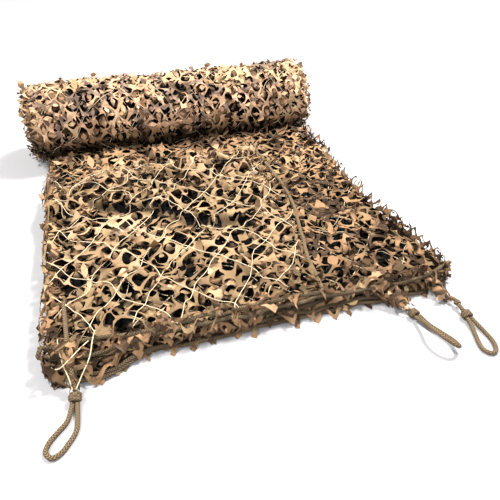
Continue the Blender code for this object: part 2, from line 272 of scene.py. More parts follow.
# Thread ribs both ways and soft crumples, as one bump.
def weaveBump(tree, shader, flat):
    ribs = []
    for direction in ("X", "Y"):
        values = {"Scale": 1 / weave["thread"] / 20 * math.pi, "Distortion": weave["unevenly"]}
        rib = addNode(tree, "TexWave", values, {"Vector": flat}, bands_direction=direction)
        ribs.append(rib.outputs["Fac"])
    fine = addBump(tree, shader, addMath(tree, "ADD", *ribs), *weave["ribs"])
    addBump(tree, shader, addNoise(tree, flat, 1 / weave["crumple"], 3.0), *weave["crumples"], fine)


# The lightest-toned leaves go a little way towards this paler colour, as highlights wash out under the
# lamps: painted highlight.
highlightWash = {"colour": "#C8B0A2", "from": 0.15, "share": 0.30}
tones = {"darkest": -0.9, "lightest": 1.0, "brightness": 1.18}


# The tone attribute lightens or darkens the colour. It holds each leaf's own random tone, together with
# painted shade that takes it down deep in the pile and painted light that lifts it in places.
def tonedColour(tree, shader, colour, washShare=0.0):
    tone = addNode(tree, "Attribute", attribute_name="tone").outputs["Fac"]
    level = addRange(tree, tone, tones["darkest"], tones["lightest"], 0.0, tones["brightness"])
    toned = addNode(tree, "Mix", {"Factor": 1.0}, {"A": colour, "B": level}, data_type="RGBA",
                    blend_type="MULTIPLY").outputs["Result"]
    # Painted highlight: the lightest tones go part of the way to the washed-out colour.
    if washShare > 0:
        share = addRange(tree, tone, highlightWash["from"], tones["lightest"], 0.0, washShare)
        toned = addNode(tree, "Mix", {"B": linearColour(highlightWash["colour"])}, {"Factor": share, "A": toned},
                        data_type="RGBA").outputs["Result"]
    tree.links.new(toned, shader.inputs["Base Color"])


def makeCloth(name, values):
    material, tree, shader, flat = newMaterial(name, values["roughness"])
    patch = addNoise(tree, flat, 1 / values["patch"], values["detail"], values["distortion"])
    colour = addRamp(tree, patch, *((place, values[shade]) for place, shade in values["stops"]))
    tonedColour(tree, shader, colour, highlightWash["share"])
    weaveBump(tree, shader, flat)
    return material


# Braided polypropylene rope: its strands cross in a fine herringbone that catches the light.
braid = {"light": "#8A765C", "dark": "#3C3123", "darkTo": 0.22, "lightFrom": 0.68, "columns": 2.0,
         "slant": 0.9, "stitch": 4.6 * mm, "strands": 0.30, "dirt": 60.0, "bump": (0.9, 0.9 * mm),
         "roughness": 0.7}


def makeBraid(name, values):
    material, tree, shader, flat = newMaterial(name, values["roughness"])
    parts = addNode(tree, "SeparateXYZ", None, {"Vector": flat})
    around = addMath(tree, "MULTIPLY", parts.outputs["X"], values["columns"])
    fold = addMath(tree, "PINGPONG", around, 0.5)
    slant = addMath(tree, "MULTIPLY", fold, values["slant"] * math.tau * 2)
    phase = addMath(tree, "MULTIPLY_ADD", parts.outputs["Y"], math.tau / values["stitch"], slant)
    strands = addMath(tree, "SINE", phase)
    dirt = addNoise(tree, flat, values["dirt"], 3.0)
    # The grooves between the strands are painted darker, which is painted shade; the noise added to it is
    # dirt.
    shown = addMath(tree, "MULTIPLY_ADD", strands, values["strands"], dirt)
    stops = (values["darkTo"], values["dark"]), (values["lightFrom"], values["light"])
    tonedColour(tree, shader, addRamp(tree, shown, *stops))
    addBump(tree, shader, strands, *values["bump"])
    return material


# Twisted nylon net cord, undyed: off-white, with the slant of its twist and a slight shine.
twistedCord = {"cord": "#E6DBC3", "cordFrom": 0.4, "twistShade": "#BCA67C", "twist": 3.0 * mm,
               "bump": (0.5, 0.3 * mm), "roughness": 0.55}


def makeTwisted(name, values):
    material, tree, shader, flat = newMaterial(name, values["roughness"])
    parts = addNode(tree, "SeparateXYZ", None, {"Vector": flat})
    around = addMath(tree, "MULTIPLY", parts.outputs["X"], math.tau)
    slant = addMath(tree, "MULTIPLY_ADD", parts.outputs["Y"], math.tau / values["twist"], around)
    twist = addMath(tree, "SINE", slant)
    colour = addRamp(tree, twist, (0.0, values["twistShade"]), (values["cordFrom"], values["cord"]))
    tree.links.new(colour, shader.inputs["Base Color"])
    addBump(tree, shader, twist, *values["bump"])
    return material


scrimFace = makeCloth("printedPolyesterScrim", printedFace)
scrimBack = makeCloth("plainScrimBack", plainBack)
ropeBraid = makeBraid("braidedRope", braid)
cordTwist = makeTwisted("twistedNylonCord", twistedCord)


rope = {"radius": 3.8 * mm, "sides": 12, "step": 3.2 * mm, "gap": 0.4 * mm}
ropeRadius = rope["radius"]
floorZ = ropeRadius + 0.2 * mm

knotSize = {"length": 18 * mm, "width": 21.5 * mm, "height": 17.2 * mm}
smallKnotSize = {"length": 11 * mm, "width": 13.5 * mm, "height": 12.5 * mm}
smallKnotBehind = 21.5 * mm

# Each tie: its knot, the way the loop leaves it, the lead from the net and the loop's route.
ties = {
    "left": {
        "knot": (-0.3390, -0.5380, 0.0108),
        "towards": (-0.12, -1.0, -0.34),
        "lead": ((-0.3440, -0.3600, 0.0571), (-0.3425, -0.4000, 0.0571), (-0.3410, -0.4400, 0.0576),
                 (-0.3400, -0.4680, 0.0560), (-0.3395, -0.4880, 0.0480), (-0.3390, -0.5030, 0.0360),
                 (-0.3385, -0.5150, 0.0245)),
        "loop": ((-0.3520, -0.5735, floorZ), (-0.3650, -0.5885, floorZ), (-0.3775, -0.6030, floorZ),
                 (-0.3830, -0.6180, floorZ), (-0.3755, -0.6300, floorZ), (-0.3625, -0.6265, floorZ),
                 (-0.3500, -0.6120, floorZ), (-0.3400, -0.5950, floorZ), (-0.3375, -0.5745, floorZ)),
    },
    "middle": {
        "knot": (0.2680, -0.5290, 0.0089),
        "towards": (0.16, -1.0, 0.10),
        "lead": ((0.2520, -0.4738, 0.0152), (0.2550, -0.4880, 0.0130)),
        "loop": ((0.2660, -0.5650, 0.0190), (0.2635, -0.5900, 0.0275), (0.2695, -0.6150, 0.0290),
                 (0.2815, -0.6310, 0.0235), (0.2930, -0.6290, 0.0150), (0.2960, -0.6080, 0.0085),
                 (0.2890, -0.5830, 0.0062), (0.2800, -0.5620, 0.0068)),
    },
    "right": {
        "knot": (0.3600, -0.5610, 0.0089),
        "towards": (-0.05, -1.0, -0.08),
        "lead": ((0.3480, -0.4616, 0.0142), (0.3490, -0.4790, 0.0124), (0.3500, -0.4970, 0.0092)),
        "loop": ((0.3490, -0.5990, floorZ), (0.3400, -0.6230, floorZ), (0.3365, -0.6400, floorZ),
                 (0.3440, -0.6520, floorZ), (0.3560, -0.6490, floorZ), (0.3650, -0.6310, floorZ),
                 (0.3670, -0.6060, floorZ)),
    },
}


# Points on a smooth curve through a route's own points, about a step apart.
def smoothRoute(points, step):
    places = np.array([tuple(p) for p in points], float)
    places = np.vstack([places[0] * 2 - places[1], places, places[-1] * 2 - places[-2]])
    share = np.linspace(0, 1, 24, endpoint=False)[:, None]
    square = share * share
    cube = square * share
    fine = []
    for before, start, end, after in zip(places, places[1:], places[2:], places[3:]):
        fine.append(0.5 * (2 * start + (end - before) * share
                           + (2 * before - 5 * start + 4 * end - after) * square
                           + (3 * start - before - 3 * end + after) * cube))
    fine = np.vstack([*fine, places[-2:-1]])
    reach = distances(fine)
    count = max(2, round(reach[-1] / step))
    wanted = np.linspace(0, reach[-1], count + 1)
    return np.stack([np.interp(wanted, reach, fine[:, axis]) for axis in range(3)], axis=1)


# Rings of points round a route, turned as little as possible from one to the next.
def tubeParts(route, radius, sides):
    ahead = unit(np.gradient(route, axis=0))
    side = np.cross(ahead[0], (0, 0, 1.0))
    if np.linalg.norm(side) < 0.1:
        side = np.cross(ahead[0], (1.0, 0, 0))
    sidesways = []
    for way in ahead:
        side = unit(side - way * side.dot(way))
        sidesways.append(side)
    sidesways = np.array(sidesways)
    upways = np.cross(sidesways, ahead)
    turn = np.linspace(0, math.tau, sides, endpoint=False)
    radius = np.broadcast_to(np.asarray(radius, float), (len(route),))[:, None, None]
    ring = np.cos(turn)[None, :, None] * sidesways[:, None] + np.sin(turn)[None, :, None] * upways[:, None]
    return route[:, None] + ring * radius


# Tubes of several routes as one mesh, with closed ends. The flat map has turns and metres along the tube.
def makeTubes(name, routes, radius, sides, material, toneOf=None):
    points, faces, flat, start = [], [], [], 0
    radii = radius if isinstance(radius, list) else [radius] * len(routes)
    for route, thick in zip(routes, radii):
        rings = tubeParts(route, thick, sides)
        count = len(route)
        along = distances(route)
        points.append(rings.reshape(-1, 3))
        turn = np.linspace(0, 1, sides, endpoint=False)
        turn = 0.5 - np.abs(turn - 0.5)  # there and back, so the map has no seam
        flat.append(stacked(*np.broadcast_arrays(turn[None] * 2, along[:, None])).reshape(-1, 2))
        for ring in range(count - 1):
            low = start + ring * sides
            for k in range(sides):
                other = (k + 1) % sides
                faces.append((low + k, low + other, low + sides + other, low + sides + k))
        faces.append(tuple(start + k for k in reversed(range(sides))))
        faces.append(tuple(start + (count - 1) * sides + k for k in range(sides)))
        start += count * sides
    points = np.vstack(points)
    tone = np.full(len(points), 0.7) if toneOf is None else toneOf(points)
    return makeMesh(name, points, faces, [material], np.vstack(flat), tone)


# How a knot's turns lie: their ends are tucked in over a part of a turn, and one turn crosses the others.
winds = {"open": 0.7, "stepsPerTurn": 26, "uneven": 0.35, "tuck": 0.45, "tuckOver": 1.2, "sides": 10,
         "crossSteps": 22, "crossPast": 0.2, "crossLong": 0.9, "crossWide": 1.04, "slant": 0.7,
         "crossLow": 0.35, "crossHigh": 0.85}


# Turns of rope wound round the strands, with one turn slanting over the others.
def makeKnot(name, node, place, towards, size, turns):
    towards = Vector(towards).normalized()
    across = towards.cross(Vector((0, 0, 1))).normalized()
    upward = across.cross(towards)
    thick = size["length"] / (turns + 0.1) / 2
    wide = size["width"] / 2 - thick
    high = size["height"] / 2 - thick
    reach = size["length"] / 2 - thick
    angle = np.linspace(0, turns * math.tau - winds["open"], winds["stepsPerTurn"] * turns)
    along = np.linspace(-reach, reach, len(angle)) + winds["uneven"] * thick * np.sin(angle)
    tuck = 1 - winds["tuck"] * ease(angle, angle[-1] - winds["tuckOver"], angle[-1])
    tuck = tuck - winds["tuck"] * (1 - ease(angle, 0, winds["tuckOver"]))
    frameNow = np.array([towards[:], across[:], upward[:]])
    wound = np.stack([along, wide * tuck * np.cos(angle), high * tuck * np.sin(angle)], 1) @ frameNow
    over = np.linspace(-winds["crossPast"], math.pi + winds["crossPast"], winds["crossSteps"])
    crossing = np.stack([reach * np.cos(over) * winds["crossLong"],
                         wide * winds["crossWide"] * np.cos(over) * winds["slant"],
                         high * (winds["crossLow"] + winds["crossHigh"] * np.sin(over))], 1) @ frameNow
    strands = [wound + np.array(place), crossing + np.array(place)]
    return standFor(makeTubes(name, strands, thick, winds["sides"], ropeBraid), "rope", node)


def addCord(name, route, nodes):
    cord = standFor(makeTubes(name, [route], ropeRadius, rope["sides"], ropeBraid), "rope", *nodes)


def makeTie(name, tie):
    knotPlace = Vector(tie["knot"])
    towards = Vector(tie["towards"]).normalized()
    across = towards.cross(Vector((0, 0, 1))).normalized()
    face = knotSize["length"] / 2 + rope["gap"]
    node = name + "_tie"
    knot = makeKnot(name + "Knot", node + "_knot", knotPlace, towards, knotSize, 3)
    spread = across * (ropeRadius + 0.3 * mm)
    loopStart = knotPlace + towards * face - spread
    loopEnd = knotPlace + towards * face + spread
    if (Vector(tie["loop"][0]) - loopEnd).length < (Vector(tie["loop"][0]) - loopStart).length:
        loopStart, loopEnd = loopEnd, loopStart
    straight = towards * ropeRadius
    loop = smoothRoute([loopStart, loopStart + straight, *tie["loop"], loopEnd + straight, loopEnd],
                       rope["step"])
    leadEnd = knotPlace - towards * face
    lead = [*tie["lead"], leadEnd - straight, leadEnd]
    nodes = [node + "_lead"]
    if name == "right":
        small = knotPlace - towards * (face + smallKnotBehind)
        makeKnot(name + "SmallKnot", node + "_small_knot", small, towards, smallKnotSize, 2)
        lead = [*tie["lead"], small - towards * (smallKnotSize["length"] / 2 + ropeRadius), small, leadEnd]
        nodes.append(node + "_link")
    leadRoute = smoothRoute(lead, rope["step"])
    addCord(name + "Lead", leadRoute, nodes)
    addCord(name + "Loop", loop, [node + "_loop"])


for tieName, tie in ties.items():
    makeTie(tieName, tie)
print("ties are in")


# The folded shape, as in the part: five runs counted from the floor, the last one turned over on top.
runs = {
    "sheet": 2.2 * mm, "pitch": 13 * mm, "swell": 0.7 * mm, "swellWaves": ((9, 7, 0.8), (-5, 8, 0.5)),
    "leftX": -0.376, "rightX": 0.372, "flare": 18 * mm, "waistY": -0.10, "halfLength": 0.35,
    "frontY": -0.468, "wobbles": ((0.0045, 11, 2.1), (0.003, 29, 1.3)), "frontWave": (0.003, 17, 1.9),
    "topBackHigher": (0.03, 0.03, 0.19), "topBackLower": (0.07, -0.34, -0.26), "topShare": 0.8,
    "topSideBack": 0.182, "topSideFront": 0.112, "topBackY": 0.157,
    "topFoldRise": 15 * mm, "topFoldInside": 75 * mm, "topFoldWidth": 50 * mm, "droop": 50 * mm,
    "crushShare": 0.10, "crushFront": 60 * mm, "crushRightX": 0.39, "crushRight": 70 * mm,
    "setBack": (0.0, 4 * mm, 9 * mm, 5 * mm, 13 * mm),
    "corner": (1.0, 0.9, 0.6, 0.4, 0.0), "cornerX": -0.305, "cornerWidth": 52 * mm, "cornerDepth": 38 * mm,
    "recessX": 0.42, "recessWidth": 50 * mm, "recessDepth": 30 * mm, "lyingGap": 2 * mm,
}
topRun = 4
rollForm = {
    "radius": 0.108, "y": 0.4075, "length": 0.816, "flat": 1.2 * mm,
    "endStart": 0.03, "endPast": 0.004, "endDrop": 0.012,
    "lump": 1.8 * mm, "waves": ((21, 2), (34, -3), (13, 4), (47, 1)), "lumpsStart": 62 * mm,
    "lumpsFull": 112 * mm,
}
rollLength = rollForm["length"]
rollMiddle = rollForm["radius"] - rollForm["flat"]  # the roll's own line over the floor


def sideX(side, level, y):
    wobble = sum(size * np.sin(wave * y + lag * level) for size, wave, lag in runs["wobbles"])
    if side == "left":
        return runs["leftX"] + wobble
    return runs["rightX"] + runs["flare"] * ((y - runs["waistY"]) / runs["halfLength"]) ** 2 + wobble


def runEnds(run, y):
    left = sideX("left", 2 * ((run + 1) // 2), y)
    right = sideX("right", 2 * (run // 2) + 1, y)
    if run == topRun:
        right = mix(runs["topSideFront"], runs["topSideBack"], ease(y, runs["frontY"], -0.05))
    return (left, right) if run % 2 == 0 else (right, left)


def frontY(run, x):
    bulge = runs["cornerDepth"] * bell(x, runs["cornerX"], runs["cornerWidth"]) * runs["corner"][run]
    recess = runs["recessDepth"] * bell(x, runs["recessX"], runs["recessWidth"])
    size, wave, lag = runs["frontWave"]
    return runs["frontY"] + runs["setBack"][run] - bulge + recess + size * np.sin(wave * x + lag * run)


def backY(run):
    drop = rollMiddle - runs["sheet"] - run * runs["pitch"]
    return rollForm["y"] - math.sqrt(rollForm["radius"] ** 2 - drop**2) - 0.4 * mm


def topBackY(x):
    higher, *right = runs["topBackHigher"]
    lower, *left = runs["topBackLower"]
    return runs["topBackY"] + higher * ease(x, *right) - lower * (1 - ease(x, *left))


def runZ(run, x, y):
    loose = 1 - ease(y, 0.20, backY(run) - 0.01)
    first, second = (wave[0] * x + wave[1] * y + wave[2] * run for wave in runs["swellWaves"])
    swell = np.sin(first) * np.cos(second)
    crush = bell(y, runs["frontY"], runs["crushFront"]) + bell(x, runs["crushRightX"], runs["crushRight"])
    lift = runs["pitch"] * (1 - runs["crushShare"] * crush * loose) + runs["swell"] * swell * loose
    return runs["sheet"] / 2 + run * lift


# The cloth's soft overhanging fold, which runs slantwise over the top run. Nearer the back it lies higher.
sag = {
    "start": (-0.285, -0.008), "way": (0.83, -0.557), "length": 0.40, "rise": 20 * mm, "fade": 90 * mm,
    "wave": 8 * mm, "ends": ((-0.03, 0.05), (-0.06, 0.03)), "edge": (-0.009, 0.006),
}


# How far behind the fold's edge a place is, and how full the fold is there.
def sagPlace(x, y):
    dx, dy = x - sag["start"][0], y - sag["start"][1]
    along = dx * sag["way"][0] + dy * sag["way"][1]
    beyond = dy * sag["way"][0] - dx * sag["way"][1] + sag["wave"] * np.sin(along * 31)
    (start, startFull), (fades, end) = sag["ends"]
    full = ease(along, start, startFull) * (1 - ease(along, sag["length"] + fades, sag["length"] + end))
    return beyond, full


def sagFold(x, y):
    beyond, full = sagPlace(x, y)
    fade = np.exp(-np.maximum(beyond, 0) / sag["fade"])
    return sag["rise"] * full * ease(beyond, *sag["edge"]) * fade


def topRunZ(x, y, below):
    back = topBackY(x)
    right = runEnds(topRun, y)[1]
    fold = bell(y, back - runs["topFoldInside"], runs["topFoldWidth"]) * ease(right - x, 0.0, 0.08)
    level = runZ(topRun, x, y) + runs["topFoldRise"] * fold
    droop = np.maximum(ease(y, back - runs["droop"], back), ease(x, right - runs["droop"], right))
    level = level + sagFold(x, y)
    return mix(level, below + runs["sheet"] / 2 + ropeRadius + runs["lyingGap"], droop)


# The middle of the cloth: across is 0 to 1 along the run, share is 0 to 1 from front to back.
def runPoint(run, across, share):
    full = share * (runs["topShare"] if run == topRun else 1.0)
    y = mix(runs["frontY"], backY(run), full)
    start, end = runEnds(run, y)
    x = mix(start, end, across)
    y = mix(frontY(run, x), backY(run), full)
    if run < topRun:
        return stacked(x, y, runZ(run, x, y))
    edge = mix(frontY(run, x), backY(run), runs["topShare"])
    y = y + (topBackY(x) - edge) * np.abs(share) * share * ease(across, 0.0, 0.12)
    return stacked(x, y, topRunZ(x, y, runZ(run - 1, x, y)))


def foldPoint(run, turn, share):
    lower = runPoint(run, np.ones_like(share), share)
    upper = runPoint(run + 1, np.zeros_like(share), share)
    outward = 1 if run % 2 == 0 else -1
    angle = math.pi * (turn - 0.5)
    middle = (lower + upper) / 2
    half = (upper - lower) / 2
    spot = middle + half * np.sin(angle)[..., None]
    spot[..., 0] += outward * half[..., 2] * np.cos(angle)
    return spot


# Flat sizes of the laid cloth as it goes to and fro.
laid = {"run": 0.748, "fold": 20 * mm, "top": 0.523, "length": 0.86, "topLength": 0.65}


# From a flat place, along the runs and front to back, to the cloth's middle.
def laidSurface(flat):
    along, depth = flat[..., 0], flat[..., 1]
    spots = np.zeros(flat.shape[:-1] + (3,))
    start = 0.0
    for run in range(topRun + 1):
        width = laid["top"] if run == topRun else laid["run"]
        share = depth / (laid["topLength"] if run == topRun else laid["length"])
        here = (along >= start) & (along < start + width)
        if run == 0:
            here |= along < start
        if run == topRun:
            here |= along >= start + width
        if here.any():
            spots[here] = runPoint(run, (along[here] - start) / width, share[here])
        start += width
        if run < topRun:
            here = (along >= start) & (along < start + laid["fold"])
            if here.any():
                spots[here] = foldPoint(run, (along[here] - start) / laid["fold"], share[here])
            start += laid["fold"]
    return spots


def rollLump(x, angle):
    chance = random.Random(5)
    phases = [chance.uniform(0, math.tau) for _ in rollForm["waves"]]
    total = 0.0
    for (alongWave, aroundWave), phase in zip(rollForm["waves"], phases):
        total = total + np.sin(alongWave * x + aroundWave * angle + phase)
    return rollForm["lump"] * total


# From a flat place, along the roll and round it, to a point on the layer that lies this deep.
def rollSurface(deep):
    def surface(flat):
        x = flat[..., 0] - rollLength / 2
        radius = rollForm["radius"] - deep
        angle = flat[..., 1] / radius
        end = ease(np.abs(x), rollLength / 2 - rollForm["endStart"], rollLength / 2 + rollForm["endPast"])
        radius = radius - rollForm["endDrop"] * end
        y, z = radius * np.cos(angle), radius * np.sin(angle)
        bumpy = ease(z + rollForm["radius"], rollForm["lumpsStart"], rollForm["lumpsFull"])
        grown = 1 + rollLump(x, angle) * bumpy / rollForm["radius"]
        return stacked(x, y * grown + rollForm["y"], z * grown + rollMiddle)
    return surface


# Die-cut scrim: holes on a diamond pattern, so that four-pointed stars are left between them. Each cut leaf
# still hangs from a star's side at one place.
cutting = {
    "pitch": 27 * mm, "stretch": 1.16, "hole": 0.45, "holeSpread": 0.14, "oval": 0.15, "widest": 0.90,
    "sidesPerEdge": 5, "rings": 2, "discSides": 10, "discRings": 2, "tipSpread": 0.55,
    "pinch": (0.15, 0.50), "blunt": (0.45, 1.25), "ragged": 0.12, "thickness": 0.5 * mm,
    "threeSided": 0.07, "tornBack": 0.2, "tornClosed": 0.8, "tipLow": 0.3,
}


# Ways along, across and off a surface at flat places. The last one points up or outward.
def surfaceWays(surface, flat, upWay):
    step = 2 * mm
    alongStep, depthStep = np.array([step, 0.0]), np.array([0.0, step])
    along = surface(flat + alongStep) - surface(flat - alongStep)
    depth = surface(flat + depthStep) - surface(flat - depthStep)
    along /= np.linalg.norm(along, axis=-1, keepdims=True) + 1e-9
    normal = np.cross(along, depth)
    normal /= np.linalg.norm(normal, axis=-1, keepdims=True) + 1e-9
    return along, np.cross(normal, along), normal * upWay


# The cloth's own swings: their sizes, how much wider its drift is, and where it gathers at the roll.
swings = {"main": 43 * mm, "small": 16 * mm, "drift": 90 * mm, "wider": 1.6, "gatherFrom": (0.34, 0.46)}


# Moves flat places off the surface by the cloth's own ripples.
def rippled(surface, flat, look, seed, extra=0.0):
    scale = np.array([look["slide"], look["slide"], look["ripple"]])
    shift = softNoise(flat, swings["main"], seed, 3) * scale
    shift += softNoise(flat, swings["small"], seed + 1, 3) * scale * look["small"]
    shift[..., 2] *= 1 + look["gather"] * ease(flat[..., 1], *swings["gatherFrom"])
    shift[..., :2] += softNoise(flat, swings["drift"], seed + 2, 2) * look["slide"] * swings["wider"]
    along, depth, normal = surfaceWays(surface, flat, look["upWay"])
    height = shift[..., 2:3] + look["lift"] + np.asarray(extra)[..., None]
    return surface(flat) + along * shift[..., 0:1] + depth * shift[..., 1:2] + normal * height


def cellEdge(values):
    reach = values["pitch"] / math.sqrt(2)
    corners = [(0, reach), (reach, 0), (0, -reach), (-reach, 0), (0, reach)]
    parts = values["sidesPerEdge"]
    points = []
    for first, second in zip(corners, corners[1:]):
        for step in range(parts):
            points.append((mix(first[0], second[0], step / parts), mix(first[1], second[1], step / parts)))
    return np.array(points) * np.array([1.0, values["stretch"]])


def cellCentres(values, low, high):
    across = values["pitch"] * math.sqrt(2)
    rise = across / 2 * values["stretch"]
    rows = np.arange(math.floor(low[1] / rise) - 1, math.ceil(high[1] / rise) + 2)
    columns = np.arange(math.floor(low[0] / across) - 1, math.ceil(high[0] / across) + 2)
    column, row = np.meshgrid(columns, rows)
    centres = stacked((column + 0.5 * (row % 2)) * across, row * rise).reshape(-1, 2)
    inside = ((centres >= np.array(low)) & (centres < np.array(high))).all(axis=1)
    return centres[inside]


# The web between the holes: rings of faces from each cell's edge to its hole. Some of its necks are torn
# through, and their ends stand off as points.
def scrimWeb(centres, look, chance):
    values = look["cut"]
    edge = cellEdge(values)
    count = len(edge)
    reach = np.linalg.norm(edge / np.array([1.0, values["stretch"]]), axis=1)
    angle = np.arctan2(edge[:, 1] / values["stretch"], edge[:, 0])
    size = values["pitch"] * values["hole"]
    size = size * (1 + values["holeSpread"] * chance.uniform(-1, 1, (len(centres), 1)))
    turn = chance.uniform(0, math.tau, (2, len(centres), 1))
    uneven = values["oval"] * np.cos(2 * (angle - turn[0]))
    size = size * (1 + uneven + values["threeSided"] * np.cos(3 * (angle - turn[1])))
    size = np.minimum(size, reach * values["widest"])
    way = stacked(np.cos(angle), np.sin(angle) * values["stretch"])
    outer = centres[:, None] + edge
    inner = centres[:, None] + way * size[..., None]
    parts = values["sidesPerEdge"]
    hinges = inner[:, ::parts]
    middles = (edge + np.roll(edge, -parts, axis=0))[::parts] / 2
    torn = placeChance(centres[:, None] + middles, 3) < look["torn"]
    torn = np.repeat(torn, parts, axis=1)
    step = np.arange(count) % parts
    neck = parts // 2
    pulled = torn & ((step == neck) | (step == neck + 1))
    corner = np.where((step == neck)[:, None], np.roll(outer, 1, axis=1), np.roll(outer, -1, axis=1))
    end = mix(outer, corner, values["tornBack"])
    inner = np.where(pulled[..., None], mix(inner, end, values["tornClosed"]), inner)
    outer = np.where(pulled[..., None], end, outer)
    rings = [mix(outer, inner, k / values["rings"]) for k in range(values["rings"] + 1)]
    flat = np.stack(rings, 1)
    tip = np.where(pulled, (placeChance(outer, 7) - values["tipLow"]) * look["tips"], 0.0)
    tip = np.repeat(tip[:, None], values["rings"] + 1, axis=1)
    index = np.arange(flat.shape[0] * flat.shape[1] * count).reshape(flat.shape[:3])
    after = np.roll(index, -1, axis=2)
    quads = stacked(index[:, :-1], after[:, :-1], after[:, 1:], index[:, 1:])
    keep = np.broadcast_to(~(torn & (step == neck))[:, None], quads.shape[:3])
    return flat.reshape(-1, 2), tip.reshape(-1), quads[keep].reshape(-1, 4), hinges


# Joins points that share a place in the flat cloth.
def weld(flat, tip, faces):
    perMetre = 20000  # so places 0.05 mm apart are still one
    keys = np.round(flat * perMetre).astype(np.int64)
    _, first, back = np.unique(keys, axis=0, return_index=True, return_inverse=True)
    return flat[first], tip[first], back.reshape(-1)[faces]


# How a leaf bends: its curl's limits in degrees, the bend past which it curls back, and its hinge.
leafBend = {
    "oval": 0.95, "hinge": 0.25, "behind": -1.5 * mm, "curlLimits": (-80, 60), "backPast": -20,
    "back": -0.5, "steps": 6, "hingeSpan": 7 * mm, "cupSpan": 10 * mm, "deepDarker": 0.7,
    "deepSpan": 10 * mm,
}


# The cut leaves: hinged at a star's side, bent by their own angle and curled.
def scrimLeaves(centres, hinges, surface, look, chance, seed):
    values = look["cut"]
    count = len(centres)
    sides = values["discSides"]
    around = np.linspace(0, math.tau, sides, endpoint=False)
    level = (np.arange(values["discRings"]) + 1) / values["discRings"]
    place = hinges[np.arange(count), chance.integers(0, 4, count)]
    toMiddle = centres - place
    span = np.linalg.norm(toMiddle, axis=1)
    radius = span * chance.uniform(*look["discSize"], count)
    tip = 1 + chance.uniform(0, values["tipSpread"], (count, 1, 1)) * np.clip(np.cos(around), 0, 1) ** 4
    pinch = 1 - chance.uniform(*values["pinch"], (count, 1, 1)) * np.sin(around) ** 2
    square = np.abs(np.cos(around)) + np.abs(np.sin(around))
    pinch = pinch * square ** -chance.uniform(*values["blunt"], (count, 1, 1))
    wave = 1 + chance.uniform(-1, 0.5, (count, 1, sides)) * values["ragged"]
    reach = radius[:, None, None] * level[None, :, None] * tip * pinch * wave
    reach = np.concatenate([np.zeros((count, 1)), reach.reshape(count, -1)], 1)
    spin = np.concatenate([[0.0], np.tile(around, values["discRings"])])
    aside = reach * np.sin(spin) * leafBend["oval"]
    out = radius[:, None] + reach * np.cos(spin)
    out = np.where(out < leafBend["hinge"] * radius[:, None], leafBend["behind"], out)
    kind = chance.choice(len(look["bends"]), count, p=[bend[0] for bend in look["bends"]])
    low = np.array([bend[1] for bend in look["bends"]])[kind]
    high = np.array([bend[2] for bend in look["bends"]])[kind]
    bend = np.radians(chance.uniform(low, high))[:, None]
    curl = np.clip(chance.normal(look["curl"], look["curlSpread"], count), *leafBend["curlLimits"])
    curl = np.radians(curl)[:, None]
    curl = curl * np.where(bend < math.radians(leafBend["backPast"]), leafBend["back"], 1.0)
    flatWay = toMiddle / span[:, None]
    sideWay = stacked(-flatWay[:, 1], flatWay[:, 0])
    outRun, upRun = np.zeros_like(out), np.zeros_like(out)
    steps = leafBend["steps"]
    for step in range(steps):
        here = out * (step + 0.5) / steps
        angle = bend * ease(here, 0.0, leafBend["hingeSpan"])
        angle = angle + curl * np.clip(here, 0, None) / (2 * span.mean())
        outRun += np.cos(angle) * out / steps
        upRun += np.sin(angle) * np.abs(out) / steps
    cup = chance.normal(0, look["cup"], (count, 1)) * (aside / radius[:, None]) ** 2
    upRun += cup * ease(out, 0.0, leafBend["cupSpan"])
    base = rippled(surface, place, look, seed)
    along, depth, normal = surfaceWays(surface, place, look["upWay"])
    lean = chance.normal(0, look["sway"], (2, count, 1))
    upward = unit(normal + along * lean[0] + depth * lean[1])
    outWay = along * flatWay[:, 0:1] + depth * flatWay[:, 1:2]
    outWay = unit(outWay - upward * (outWay * upward).sum(1, keepdims=True))
    acrossWay = np.cross(upward, outWay)
    spots = (base[:, None] + outWay[:, None] * outRun[..., None]
             + acrossWay[:, None] * aside[..., None] + upward[:, None] * upRun[..., None])
    flat = place[:, None] + flatWay[:, None] * out[..., None] + sideWay[:, None] * aside[..., None]
    start = np.arange(count)[:, None, None] * spots.shape[1]
    first = 1 + np.arange(sides)
    after = np.roll(first, -1)
    fan = stacked(np.zeros(sides, int), first, after)[None] + start
    faces = fan.reshape(-1, 3).tolist()
    for _ in range(values["discRings"] - 1):
        ring = stacked(first, first + sides, after + sides, after)[None] + start
        faces += ring.reshape(-1, 4).tolist()
        first, after = first + sides, after + sides
    # Leaves pushed down into their holes are painted darker the deeper they go: painted shade.
    deep = np.clip(-upRun, 0, None) / leafBend["deepSpan"]
    tone = chance.uniform(-look["toneSpread"], look["toneSpread"], (count, 1))
    tone = tone - leafBend["deepDarker"] * deep
    return spots.reshape(-1, 3), flat.reshape(-1, 2), faces, tone.reshape(-1)


# Leaves that stand far off the roll or the laid runs' sides are pressed back, and none goes into the floor.
pressing = {"rollGap": 7 * mm, "rollKept": 0.4, "rightGap": 1 * mm, "rightKept": 0.3, "leftGap": 3 * mm,
            "leftKept": 0.5, "floorGap": 0.6 * mm}


def settled(points, node):
    x, y, z = points.T
    if node == "netting_roll":
        outY, outZ = y - rollForm["y"], z - rollMiddle
        radius, limit = np.hypot(outY, outZ), rollForm["radius"] + pressing["rollGap"]
        pressed = np.where(radius > limit, mix(limit / radius, 1.0, pressing["rollKept"]), 1.0)
        y, z = y + outY * (pressed - 1), z + outZ * (pressed - 1)
    else:
        right, left = sideX("right", 3, y) + pressing["rightGap"], sideX("left", 2, y) - pressing["leftGap"]
        x = np.where(x > right, mix(right, x, pressing["rightKept"]),
                     np.where(x < left, mix(left, x, pressing["leftKept"]), x))
    return stacked(x, y, np.maximum(z, pressing["floorGap"]))


slots = {"netting_roll": "wound_scrim", "laid_netting": "scrim"}  # by CAD node
